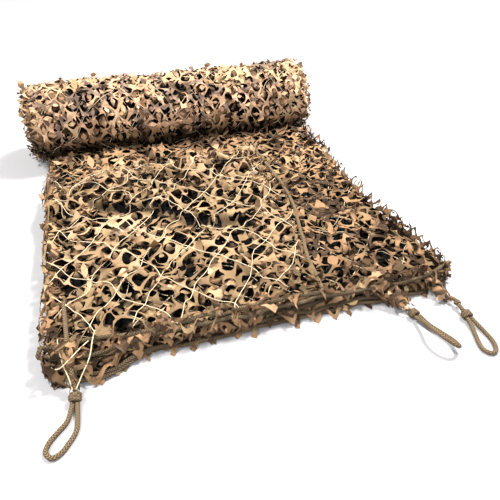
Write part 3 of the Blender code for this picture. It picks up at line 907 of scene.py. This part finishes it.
# Past the front edge: the share of the cells that are gone, the hem's swell and how it hangs down. Cells
# count as near an edge by a share of their pitch.
overEdge = {"near": 0.8, "gone": 0.55, "swell": (5 * mm, 12 * mm), "drop": 1.6, "hang": (8 * mm, 22 * mm)}
# Lighter up high and darker low down is painted light and shade; the patchiness is random tone.
patches = {"size": 22 * mm, "share": 0.8, "higher": 0.16}  # the web's tone: patchy, and lighter up high


# One piece of scrim between two corners of the flat cloth, with its first material up or outward.
def makeScrim(name, surface, low, high, look, node, seed, shade=None, wanted=None):
    chance = np.random.default_rng(seed)
    cut = look["cut"]
    centres = cellCentres(cut, low, high)
    if wanted is not None:
        centres = centres[wanted(surface(centres))]
    fromEdge = np.minimum(centres - np.array(low), np.array(high) - centres)
    nearEdge = (fromEdge < cut["pitch"] * overEdge["near"]).any(axis=1)
    loose = np.where(centres[:, 1] < 0, overEdge["gone"], look["fray"])
    centres = centres[~nearEdge | (placeChance(centres, seed) > loose)]
    webFlat, tip, webFaces, hinges = scrimWeb(centres, look, chance)
    webFlat, tip, webFaces = weld(webFlat, tip, webFaces)
    past = -webFlat[:, 1]
    hang = overEdge["drop"] * ease(past, *overEdge["hang"])
    tip = tip + look["hem"] * (bell(past, *overEdge["swell"]) - hang)
    points = [rippled(surface, webFlat, look, seed, tip)]
    if look["upWay"] > 0:
        webFaces = webFaces[:, ::-1]
    height = softNoise(webFlat, swings["main"], seed, 3)[..., 2]
    patchy = softNoise(webFlat, patches["size"], seed + 5)[:, 0]
    tones = [patchy * look["toneSpread"] * patches["share"] + patches["higher"] * height]
    flats = [webFlat]
    faces = webFaces.tolist()
    count = len(webFlat)
    for _ in range(look["discSets"]):
        spots, discFlat, discFaces, discTone = scrimLeaves(centres, hinges, surface, look, chance, seed)
        faces += [tuple(index + count for index in face) for face in discFaces]
        points.append(spots)
        flats.append(discFlat)
        tones.append(discTone)
        count += len(spots)
    points = settled(np.vstack(points), node)
    tone = np.concatenate(tones) + look["tone"]
    # Painted shade goes into the tone here, and painted light where the shade comes out negative.
    if shade is not None:
        tone = mix(tone, -1.0, shade(points))
    piece = makeMesh(name, points, faces, look["materials"], np.vstack(flats), tone, crispRims=True)
    if look["twoSided"]:
        cloth = piece.modifiers.new("cloth", "SOLIDIFY")
        cloth.thickness = cut["thickness"]
        cloth.offset = 0
        cloth.material_offset = 1
        cloth.material_offset_rim = 1
    standFor(piece, slots[node], node)
    print(name, "has", len(centres), "cuts and", len(faces), "faces on one side")


# The same scrim in fewer faces, for layers that show little.
coarse = dict(cutting, hole=0.31, sidesPerEdge=3, rings=1, discSides=8, discRings=1)

# Shares of the leaves with their bends in degrees: pushed through, lying in their holes and standing up.
leafy = ((0.32, -85, -28), (0.56, -22, 9), (0.12, 10, 34))
dropped = ((0.58, -110, -50), (0.35, -38, -5), (0.07, 8, 40))
scales = ((0.30, -70, -25), (0.32, -20, 0), (0.38, 6, 32))

# The scrim's looks: its cut, how it ripples and slides on its surface, and how its leaves lie.
rollLook = {
    "cut": dict(cutting, rings=1, sidesPerEdge=4, discSides=8, ragged=0.22),
    "materials": [scrimFace, scrimBack], "twoSided": True, "held": "laid", "upWay": -1,
    "slide": 5 * mm, "ripple": 5 * mm, "small": 1.0, "lift": 1 * mm, "gather": 0.0,
    "torn": 0.36, "tips": 15 * mm, "fray": 0.0, "hem": 0.0,
    "discSets": 2, "discSize": (0.60, 1.05), "bends": scales, "curl": 12, "curlSpread": 40, "cup": 1.5 * mm,
    "sway": 0.38, "tone": 0.93, "toneSpread": 0.42,
}
# The inner layers' low tone is painted shade.
innerLook = dict(rollLook, cut=coarse, tone=-0.35, lift=0.0, discSets=1, discSize=(0.76, 1.08),
                 twoSided=False, bends=dropped)
camoLook = dict(rollLook, cut=dict(rollLook["cut"], pitch=25 * mm, hole=0.44), ripple=6.5 * mm,
                slide=7 * mm, lift=3 * mm, torn=0.30, tips=8 * mm, fray=0.35, hem=6 * mm, discSets=1,
                discSize=(0.88, 1.22), sway=0.25, bends=leafy, tone=0.0, toneSpread=0.55)
paleLook = dict(rollLook, cut=dict(cutting, hole=0.465), materials=[scrimBack, scrimFace], discSets=1,
                discSize=(0.76, 1.08), ripple=5.6 * mm, slide=6 * mm, small=1.35, lift=1 * mm,
                bends=dropped, tone=0.20, toneSpread=0.46, torn=0.22, sway=0.25, upWay=1, fray=0.25,
                hem=6 * mm, gather=0.8)
lowerLook = dict(innerLook, ripple=4 * mm, tips=6 * mm, discSize=(0.82, 1.14), tone=0.10, toneSpread=0.50,
                 bends=leafy, fray=0.2, hem=6 * mm)


# Painted shade: how dark places are painted, deep in the pile and less so near its sides, towards the front
# and the right, beside the roll and under the sagging fold. "bright" and "brighter" are painted light that
# takes some of it off, and "near" is the least of it beside the roll. Each pair says where a shade starts
# and where it is full.
laidDark = {
    "depth": (1 * mm, 13 * mm), "atSides": 0.40, "fromSides": (5 * mm, 30 * mm),
    "front": 0.32, "frontFrom": (-0.46, -0.32), "right": 0.15, "rightFrom": (-0.15, 0.10),
    "rightTo": (0.05, 0.15), "overEdge": 0.6, "overEdgeFrom": (0.0, 12 * mm),
    "fold": 0.62, "foldMiddle": -9 * mm, "foldWidth": 11 * mm,
    "nip": 0.80, "nipFrom": (0.318, 0.352), "near": 0.17, "nearFrom": (0.19, 0.26),
    "bright": 0.17, "brightFrom": (-0.03, 0.03), "brighter": 0.05, "brighterFrom": (0.15, 0.21),
}
# Painted shade on the roll: deep in it and less so near its ends, at the nip low on its front, and a little
# over its top to take down the lamps' light there.
rollDark = {
    "depth": (6 * mm, 12 * mm), "atEnds": 0.45, "fromEnds": (5 * mm, 40 * mm),
    "nip": 0.85, "nipHeight": (0.050, 0.115), "nipBack": (0.36, 0.42),
    "top": 0.16, "topFrom": (0.14, 0.205),
}


def laidShade(points):
    x, y, z = points.T
    dark = laidDark
    right = runEnds(topRun, y)[1]
    covered = ease(right - x, -0.005, 0.02) * ease(topBackY(x) - y, -0.005, 0.02)
    third = runZ(3, x, y)
    top = mix(third, topRunZ(x, y, third), covered)
    inward = np.minimum(x - sideX("left", 2, y), sideX("right", 3, y) - x)
    inward = np.minimum(inward, y - frontY(2, x))
    deep = ease(top - z, *dark["depth"]) * mix(dark["atSides"], 1.0, ease(inward, *dark["fromSides"]))
    # Painted shade that dims the cloth towards the front and towards the right, less so past the front
    # edge.
    paintedDimming = dark["front"] * (1 - ease(y, *dark["frontFrom"]))
    paintedDimming = paintedDimming + dark["right"] * ease(x, *dark["rightFrom"]) * (1 - ease(y, *dark["rightTo"]))
    paintedDimming = paintedDimming * (1 - dark["overEdge"] * ease(frontY(0, x) - y, *dark["overEdgeFrom"]))
    beyond, full = sagPlace(x, y)
    underFold = dark["fold"] * full * bell(beyond, dark["foldMiddle"], dark["foldWidth"])
    deep = np.maximum(deep, dark["nip"] * ease(y, *dark["nipFrom"]))
    # Painted light: some of the shade is taken off towards the back, less so beside the roll.
    bright = dark["bright"] * ease(y, *dark["brightFrom"])
    bright = bright + dark["brighter"] * ease(y, *dark["brighterFrom"])
    near = ease(y, *dark["nearFrom"])
    shade = np.maximum(deep, np.maximum(paintedDimming, underFold)) - bright * (1 - near)
    return np.maximum(shade, dark["near"] * near)


def rollShade(points):
    x, y, z = points.T
    dark = rollDark
    outY, outZ = y - rollForm["y"], z - rollMiddle
    lump = rollLump(x, np.arctan2(outZ, outY)) * ease(z, rollForm["lumpsStart"], rollForm["lumpsFull"])
    radius = np.hypot(outY, outZ) - lump
    ends = ease(rollLength / 2 - np.abs(x), *dark["fromEnds"])
    deep = ease(rollForm["radius"] - radius, *dark["depth"]) * mix(dark["atEnds"], 1.0, ends)
    nip = dark["nip"] * (1 - ease(z, *dark["nipHeight"])) * (1 - ease(y, *dark["nipBack"]))
    return np.maximum(np.maximum(deep, nip), dark["top"] * ease(z, *dark["topFrom"]))


rollDepth = {"rollOuterScrim": 3 * mm, "rollSecondScrim": 10 * mm, "rollThirdScrim": 17 * mm}


def girthAt(deep):
    return math.tau * (rollForm["radius"] - deep)


for (name, deep), look, seed in zip(rollDepth.items(), (rollLook, innerLook, innerLook), (21, 31, 35)):
    makeScrim(name, rollSurface(deep), (0.0, 0.0), (rollLength, girthAt(deep)), look, "netting_roll", seed,
              rollShade)


# The wound turns that show on the roll's two ends, as one long strip in a spiral.
winding = {"pitch": 12 * mm, "outer": 0.101, "inner": 14 * mm, "width": 48 * mm, "stagger": 7 * mm,
           "setBack": 6 * mm, "rounding": 10 * mm, "roundFrom": (0.075, 0.105), "squeeze": 0.03}


def windingSurface(side):
    def surface(flat):
        pitch, outer = winding["pitch"], winding["outer"]
        inside = np.maximum(outer**2 - pitch * flat[..., 0] / math.pi, 1e-6)
        angle = (outer - np.sqrt(inside)) / (pitch / math.tau)
        radius = outer - pitch * angle / math.tau
        edge = winding["stagger"] * (np.sin(1.7 * angle) + 0.6 * np.sin(4.3 * angle + 1)) / 2
        edge = edge + winding["rounding"] * ease(radius, *winding["roundFrom"])
        x = side * (rollLength / 2 - winding["setBack"] - edge - flat[..., 1])
        radius = radius * (1 + winding["squeeze"] * np.sin(3 * angle))
        return stacked(x, radius * np.cos(angle) + rollForm["y"], radius * np.sin(angle) + rollMiddle)
    return surface


windingLook = dict(rollLook, ripple=2.5 * mm, slide=3 * mm, discSets=1, sway=0.3, bends=leafy, tone=0.45)
spiral = math.pi * (winding["outer"] ** 2 - winding["inner"] ** 2) / winding["pitch"]
for name, side, seed in (("leftWinding", -1, 70), ("rightWinding", 1, 72)):
    makeScrim(name, windingSurface(side), (0.0, 0.0), (spiral, winding["width"]),
              dict(windingLook, upWay=-side), "netting_roll", seed)


# The deep turns inside the roll, where no gap shows through: one wound sheet, open at its ends, whose
# near-black tone is painted shade.
deepTurns = {"radius": 0.081, "uneven": 4 * mm, "ends": 0.04, "flatRadius": 0.08, "around": 48, "along": 60,
             "tone": -0.85, "toneSpread": 0.3}


def makeCore():
    around = np.linspace(0, math.tau, deepTurns["around"] + 1)[:-1]
    reach = rollLength / 2 - deepTurns["ends"]
    angle, x = np.meshgrid(around, np.linspace(-reach, reach, deepTurns["along"]))
    flat = stacked(x, angle * deepTurns["flatRadius"])
    radius = deepTurns["radius"] + deepTurns["uneven"] * softNoise(flat, 30 * mm, 81)[..., 0]
    points = stacked(x, radius * np.cos(angle) + rollForm["y"], radius * np.sin(angle) + rollForm["radius"])
    index = np.arange(angle.size).reshape(angle.shape)
    after = np.roll(index, -1, axis=1)
    faces = stacked(index[:-1], index[1:], after[1:], after[:-1]).reshape(-1, 4).tolist()
    tone = deepTurns["tone"] + deepTurns["toneSpread"] * softNoise(flat, 20 * mm, 83)[..., 0].ravel()
    core = makeMesh("rollCore", points.reshape(-1, 3), faces, [scrimFace], flat.reshape(-1, 2), tone)
    standFor(core, "wound_scrim", "netting_roll")


makeCore()
print("the roll's scrim is in")

# Where each run starts and ends on the flat cloth.
starts = [0.0]
for run in range(topRun):
    starts.append(starts[-1] + laid["run"] + laid["fold"])
ends = [start + laid["run"] for start in starts[:-1]] + [starts[-1] + laid["top"]]
turnedOver = 34 * mm  # of the top run's left side still shows the printed face

frontHem = -14 * mm  # the scrim goes over the border rope and hangs past it in tatters


# How far inside the top run's edges the run under it counts as covered.
coverInside = {"right": 25 * mm, "left": 0.03, "back": 25 * mm}


# True where the top run covers the run under it.
def underTop(points):
    x, y = points[..., 0], points[..., 1]
    within = (x < runEnds(topRun, y)[1] - coverInside["right"])
    within &= (x > sideX("left", 2, y) + coverInside["left"])
    return within & (y < topBackY(x) - coverInside["back"])


def besideTop(points):
    return ~underTop(points)


def laidScrim(name, low, high, look, seed, wanted=None):
    makeScrim(name, laidSurface, low, high, look, "laid_netting", seed, laidShade, wanted)


for run in range(3):
    laidScrim("laidRun%d" % (run + 1), (starts[run], frontHem), (starts[run + 1], laid["length"]),
              dict(lowerLook, upWay=1 if run % 2 == 0 else -1), 41 + run)
fourthRun = ((starts[3], frontHem), (ends[3], laid["length"]))
laidScrim("laidRun4", *fourthRun, dict(camoLook, upWay=-1), 51, besideTop)
laidScrim("laidRun4Under", *fourthRun,
          dict(lowerLook, upWay=-1, tone=0.7, toneSpread=0.9, lift=3 * mm, ripple=6 * mm), 53, underTop)
laidScrim("topRunEdge", (ends[3], frontHem), (starts[4] + turnedOver, laid["topLength"]),
          dict(camoLook, upWay=1), 55)
laidScrim("turnedTopRun", (starts[4] + turnedOver, frontHem), (ends[4], laid["topLength"]), paleLook, 61)


# The crumpled scrim between the runs, as it shows on the pile's front, sides and cut corner: the length,
# the way up and the seed of each, and then what they share.
walls = {
    "front": (0.70, 1, 107), "left": (0.74, -1, 104), "right": (0.74, 1, 107), "corner": (0.085, 1, 108),
    "height": 50 * mm, "low": 1.5 * mm, "frontLow": -0.355, "sideLow": -0.455, "inset": 6 * mm,
    "frontInset": 1.5 * mm, "crumple": 6 * mm, "crumpleSize": 45 * mm,
    "cornerPlace": (-0.350, -0.466), "cornerSize": 0.040, "cornerReach": 0.034, "cornerLean": 0.25,
    "bends": ((0.7, -60, -12), (0.3, -12, 8)),
}


def wallSurface(side):
    def surface(flat):
        along, height = flat[..., 0], flat[..., 1]
        run = np.clip(height / runs["pitch"], 0, 3)
        if side == "front":
            x = walls["frontLow"] + along
            crumple = softNoise(stacked(along, height * 2), walls["crumpleSize"], 13)[..., 0]
            y = mix(frontY(0, x), frontY(3, x), run / 3) + walls["frontInset"] + walls["crumple"] * crumple
        elif side == "corner":
            turn = along / walls["cornerSize"] - 0.5
            x = walls["cornerPlace"][0] - walls["cornerReach"] * np.cos(turn)
            deep = walls["cornerSize"] - walls["cornerLean"] * height
            y = walls["cornerPlace"][1] - deep * np.sin(turn)
        else:
            y = walls["sideLow"] + along
            x = sideX(side, run, y) + walls["inset"] * (1 if side == "left" else -1)
        return stacked(x, y, height + walls["low"])
    return surface


# Cloth deep between the runs, so that no light comes through the pile; its near-black tone is painted
# shade.
pileCore = {"along": 60, "rows": 5, "start": 0.01, "height": 40 * mm, "deep": (-5 * mm, 12 * mm),
            "deepHeight": 15 * mm, "frontDeeper": 6 * mm, "uneven": 3 * mm, "tone": -0.8}


def makePileCore():
    points, faces, flat = [], [], []
    for side in ("front", "left", "right"):
        places = np.linspace(pileCore["start"], walls[side][0], pileCore["along"])
        along, height = np.meshgrid(places, np.linspace(0, pileCore["height"], pileCore["rows"]))
        place = stacked(along, height)
        wall = wallSurface(side)(place)
        deeper = mix(*pileCore["deep"], np.clip(height / pileCore["deepHeight"], 0, 1))
        if side == "front":
            wall[..., 1] += deeper + pileCore["frontDeeper"]
        else:
            wall[..., 0] += deeper * (1 if side == "left" else -1)
        wall[..., :2] += pileCore["uneven"] * softNoise(place, 20 * mm, 5, 2)
        index = np.arange(along.size).reshape(along.shape) + sum(len(part) for part in points)
        quads = stacked(index[:-1, :-1], index[:-1, 1:], index[1:, 1:], index[1:, :-1])
        points.append(wall.reshape(-1, 3))
        flat.append(place.reshape(-1, 2))
        faces += quads.reshape(-1, 4).tolist()
    points = np.vstack(points)
    tone = np.full(len(points), pileCore["tone"])
    core = makeMesh("pileCore", points, faces, [scrimFace], np.vstack(flat), tone)
    standFor(core, "scrim", "laid_netting")


makePileCore()
for side in ("front", "left", "right", "corner"):
    length, upWay, seed = walls[side]
    # The walls' low tone is painted shade, for the gaps between the runs.
    look = dict(camoLook, cut=dict(coarse, pitch=18 * mm), upWay=upWay, hem=0.0, fray=0.0,
                ripple=6 * mm, slide=5 * mm, lift=0.0, held="gathered", tone=-0.2, toneSpread=0.55,
                twoSided=False, torn=0.2, tips=4 * mm, discSize=(0.76, 1.08), bends=walls["bends"])
    low = (0.0, 0.0)
    if side == "front":
        look.update(tone=-0.1, toneSpread=0.8, ripple=5 * mm, torn=0.3)
        low = (0.0, 7 * mm)
    makeScrim(side + "Wall", wallSurface(side), low, (length, walls["height"]), look, "laid_netting", seed)


# Scrim gathered round a tie's lead, from a route, a radius at its start and one at its end.
def gatherSurface(route, wide, narrow):
    route = smoothRoute(route, 4 * mm)
    reach = distances(route)
    ahead = unit(route[-1] - route[0])
    side = unit(np.cross(ahead, (0, 0, 1.0)))
    upward = np.cross(side, ahead)
    girthShare, flatter = 0.43, 0.7  # of the two radii together, and of the width

    def surface(flat):
        middle = np.stack([np.interp(flat[..., 0], reach, route[:, axis]) for axis in range(3)], -1)
        middle = middle + ahead * (flat[..., 0:1] - np.clip(flat[..., 0:1], 0, reach[-1]))
        radius = mix(wide, narrow, np.clip(flat[..., 0:1] / reach[-1], 0, 1))
        angle = flat[..., 1:2] / (girthShare * (wide + narrow))
        return middle + radius * (side * np.cos(angle) + upward * np.sin(angle) * flatter)
    return surface, reach[-1], math.tau * girthShare * (wide + narrow)


gathers = {
    "middleGather": {"route": ((0.232, -0.436, 0.030), (0.246, -0.470, 0.024), (0.262, -0.508, 0.014)),
                     "radii": (30 * mm, 12 * mm), "seed": 91},
    "rightGather": {"route": ((0.342, -0.446, 0.022), (0.349, -0.480, 0.014), (0.354, -0.508, 0.010)),
                    "radii": (14 * mm, 8 * mm), "seed": 93},
    "leftGather": {"route": ((-0.340, -0.466, 0.056), (-0.3395, -0.490, 0.048), (-0.339, -0.518, 0.024)),
                   "radii": (12 * mm, 8 * mm), "seed": 95},
}
for name, gather in gathers.items():
    surface, length, girth = gatherSurface(gather["route"], *gather["radii"])
    look = dict(camoLook, cut=dict(cutting, pitch=22 * mm, hole=0.35), hem=0.0, fray=0.0, ripple=3 * mm,
                slide=3 * mm, lift=0.0, upWay=1, held="gathered", tone=0.12)
    makeScrim(name, surface, (-0.01, 0.0), (length, girth), look, "laid_netting", gather["seed"])
print("the laid scrim is in")


# Knotted cord mesh sewn to the scrim's back, with diamonds as they lie on the turned top run.
netCord = {
    "radius": 0.76 * mm, "thin": 0.7 * mm, "rise": (0.051, 0.0775), "fall": (0.052, -0.055), "reach": 40,
    "jitter": 7 * mm, "bow": 7 * mm, "sides": 5, "step": 6 * mm, "cornerThick": 1.4, "knotThick": 2.2,
    "knotShape": (0.45, 1.0, 1.0, 0.45), "knotSteps": (-1, -0.5, 0.5, 1), "liftSize": 40 * mm,
    "stiff": 0.25,
}


# Cords of the net's corner, which are tied in with the left knot.
cornerCords = (
    ((-0.296, -0.440, 0.050), (-0.301, -0.468, 0.055), (-0.309, -0.492, 0.043), (-0.324, -0.514, 0.030),
     (-0.336, -0.530, 0.018)),
    ((-0.357, -0.438, 0.046), (-0.354, -0.466, 0.056), (-0.350, -0.494, 0.044), (-0.344, -0.514, 0.030),
     (-0.341, -0.530, 0.018)),
    ((-0.383, -0.452, 0.038), (-0.374, -0.482, 0.034), (-0.358, -0.500, 0.040), (-0.340, -0.496, 0.050),
     (-0.322, -0.480, 0.054), (-0.308, -0.462, 0.050)),
)


def makeNetCord(name, surface, low, high, look, height, origin, seed, node, radius, extra=()):
    chance = np.random.default_rng(seed)
    rise, fall = np.array(netCord["rise"]), np.array(netCord["fall"])
    grid = np.arange(-netCord["reach"], netCord["reach"] + 1)
    rises, falls = np.meshgrid(grid, grid, indexing="ij")
    knots = np.array(origin) + rises[..., None] * rise + falls[..., None] * fall
    knots = knots + chance.uniform(-1, 1, knots.shape) * netCord["jitter"]
    inside = ((knots >= np.array(low)) & (knots <= np.array(high))).all(axis=-1)
    routes, radii = [], []
    follow = dict(look, small=netCord["stiff"])  # the cord leaves out most of the scrim's small ripples
    for lines, kept in ((knots, inside), (knots.transpose(1, 0, 2), inside.T)):
        for line, there in zip(lines, kept):
            chosen = line[there | np.roll(there, 1) | np.roll(there, -1)]
            if len(chosen) < 3:
                continue
            flat = [chosen[0]]
            for first, second in zip(chosen, chosen[1:]):
                way = second - first
                across = np.array([-way[1], way[0]]) / np.linalg.norm(way)
                flat += [(first + second) / 2 + across * chance.normal(0, netCord["bow"]), second]
            route = smoothRoute([(*place, 0.0) for place in flat], netCord["step"])[:, :2]
            route = route[((route >= np.array(low)) & (route <= np.array(high))).all(axis=1)]
            if len(route) < 4:
                continue
            lift = height[0] + height[1] * softNoise(route, netCord["liftSize"], seed + 2)[:, 0]
            routes.append(rippled(surface, route, follow, seed, lift))
            radii.append(radius)
    for cord in extra:
        routes.append(smoothRoute(cord, 3 * mm))
        radii.append(netCord["cornerThick"] * radius)
    spots = rippled(surface, knots[inside], follow, seed, np.full(inside.sum(), height[0]))
    thick = netCord["knotThick"] * radius
    for spot in spots:
        way = chance.normal(0, 1, 3)
        way *= thick / np.linalg.norm(way)
        routes.append(np.array([spot + way * step for step in netCord["knotSteps"]]))
        radii.append(thick * np.array(netCord["knotShape"]))
    standFor(makeTubes(name, routes, radii, netCord["sides"], cordTwist), slots[node], node)
    print(name, "has", len(spots), "knots")


knotStart = (starts[4] + 0.182, 0.313)  # the knot that the laid mesh is counted from
makeNetCord("topNetCord", laidSurface, (starts[4] + 0.01, 0.0), (ends[4], laid["topLength"]), paleLook,
            (3.8 * mm, 1.5 * mm), knotStart, 61, "laid_netting", netCord["radius"], cornerCords)
makeNetCord("laidNetCord", laidSurface, (starts[3] + 0.01, 0.01), (ends[3], laid["length"]),
            dict(camoLook, upWay=-1), (-6 * mm, 3 * mm), knotStart, 51, "laid_netting", netCord["thin"])
outer = rollDepth["rollOuterScrim"]
makeNetCord("rollNetCord", rollSurface(outer), (0.01, 0.0), (rollLength - 0.01, girthAt(outer)), rollLook,
            (-2.0 * mm, 3.5 * mm), (0.4, 0.3), 21, "netting_roll", netCord["thin"])
print("the net cord is in")


# The border rope follows the front edges of the runs and their folds, and then the top run's free side.
border = {
    "cells": (10, 10, 10, 10, 7), "foldCells": 3, "rows": 10, "topRows": 8, "off": ropeRadius + 0.8 * mm,
    "sides": 10, "step": 4 * mm, "sway": (1.2, 3.2, 3.4), "swaySize": 34 * mm, "turnIn": 0.8,
    "turnOut": 1.05,
    "middleHeight": (0.026, 0.011), "middleBack": 4 * mm, "middleTo": (-0.45, -0.43),
    "sideRise": 3 * mm, "sideFrom": (-0.46, -0.42), "frontTo": (-0.46, -0.44),
    "tone": 0.95, "frontDarker": 0.45, "middleDarker": 0.85, "middleAt": (0.024, 0.013), "varied": 0.25,
}
columns = sum(border["cells"]) + topRun * border["foldCells"]


# A place on the folded cloth by its column and row in the grid that the part is made on.
def flatGridPoint(column, row):
    cells, foldCells = border["cells"], border["foldCells"]
    start, run = 0, 0
    while run < topRun and column >= start + cells[run] + foldCells:
        start += cells[run] + foldCells
        run += 1
    step = column - start
    share = np.array(row / border["topRows" if run == topRun else "rows"])
    if step <= cells[run]:
        return runPoint(run, np.array(step / cells[run]), share)
    return foldPoint(run, np.array((step - cells[run]) / foldCells), share)


def besideEdge(before, place, after, inner):
    along = unit(after - before)
    outward = place - inner
    spot = place + unit(outward - along * outward.dot(along)) * border["off"]
    spot[2] = max(spot[2], floorZ)
    return spot


def borderRoute():
    last = border["topRows"]
    front = [flatGridPoint(column, 0) for column in range(columns + 1)]
    inner = [flatGridPoint(column, 1) for column in range(columns + 1)]
    route = []
    for index, place in enumerate(front[:-1]):
        route.append(besideEdge(front[max(0, index - 1)], place, front[index + 1], inner[index]))
    side = [flatGridPoint(columns, row) for row in range(last + 1)]
    sideInner = [flatGridPoint(columns - 1, row) for row in range(last + 1)]
    forward = unit(side[0] - side[1]) * border["off"]
    outward = unit(side[0] - sideInner[0]) * border["off"]
    route += [side[0] + forward, side[0] + (forward + outward) * border["turnIn"],
              side[0] + outward * border["turnOut"]]
    for row in range(1, last + 1):
        route.append(besideEdge(side[row - 1], side[row], side[min(row + 1, last)], sideInner[row]))
    route = smoothRoute(route, border["step"])
    place = np.arange(len(route)) * border["step"]
    sway = softNoise(stacked(place, np.zeros(len(route))), border["swaySize"], 7, 3)
    route += sway * np.array(border["sway"]) * mm
    middle = bell(route[:, 2], *border["middleHeight"]) * (1 - ease(route[:, 1], *border["middleTo"]))
    route[:, 1] += border["middleBack"] * middle
    route[:, 2] += border["sideRise"] * ease(route[:, 1], *border["sideFrom"])
    route[:, 2] = np.maximum(route[:, 2], floorZ)
    return route


# The ropes at the front are painted darker, the middle ones that lie back in the pile most of all: painted
# shade, varied a little along the rope.
def borderTone(points):
    x, y, z = points.T
    darker = border["frontDarker"] + border["middleDarker"] * bell(z, *border["middleAt"])
    darker = darker + border["varied"] * np.sin(x * 61)
    return border["tone"] - (1 - ease(y, *border["frontTo"])) * darker


borderRope = makeTubes("borderRope", [borderRoute()], ropeRadius, border["sides"], ropeBraid, borderTone)
standFor(borderRope, "rope", "border_rope")
print("the border rope is in")
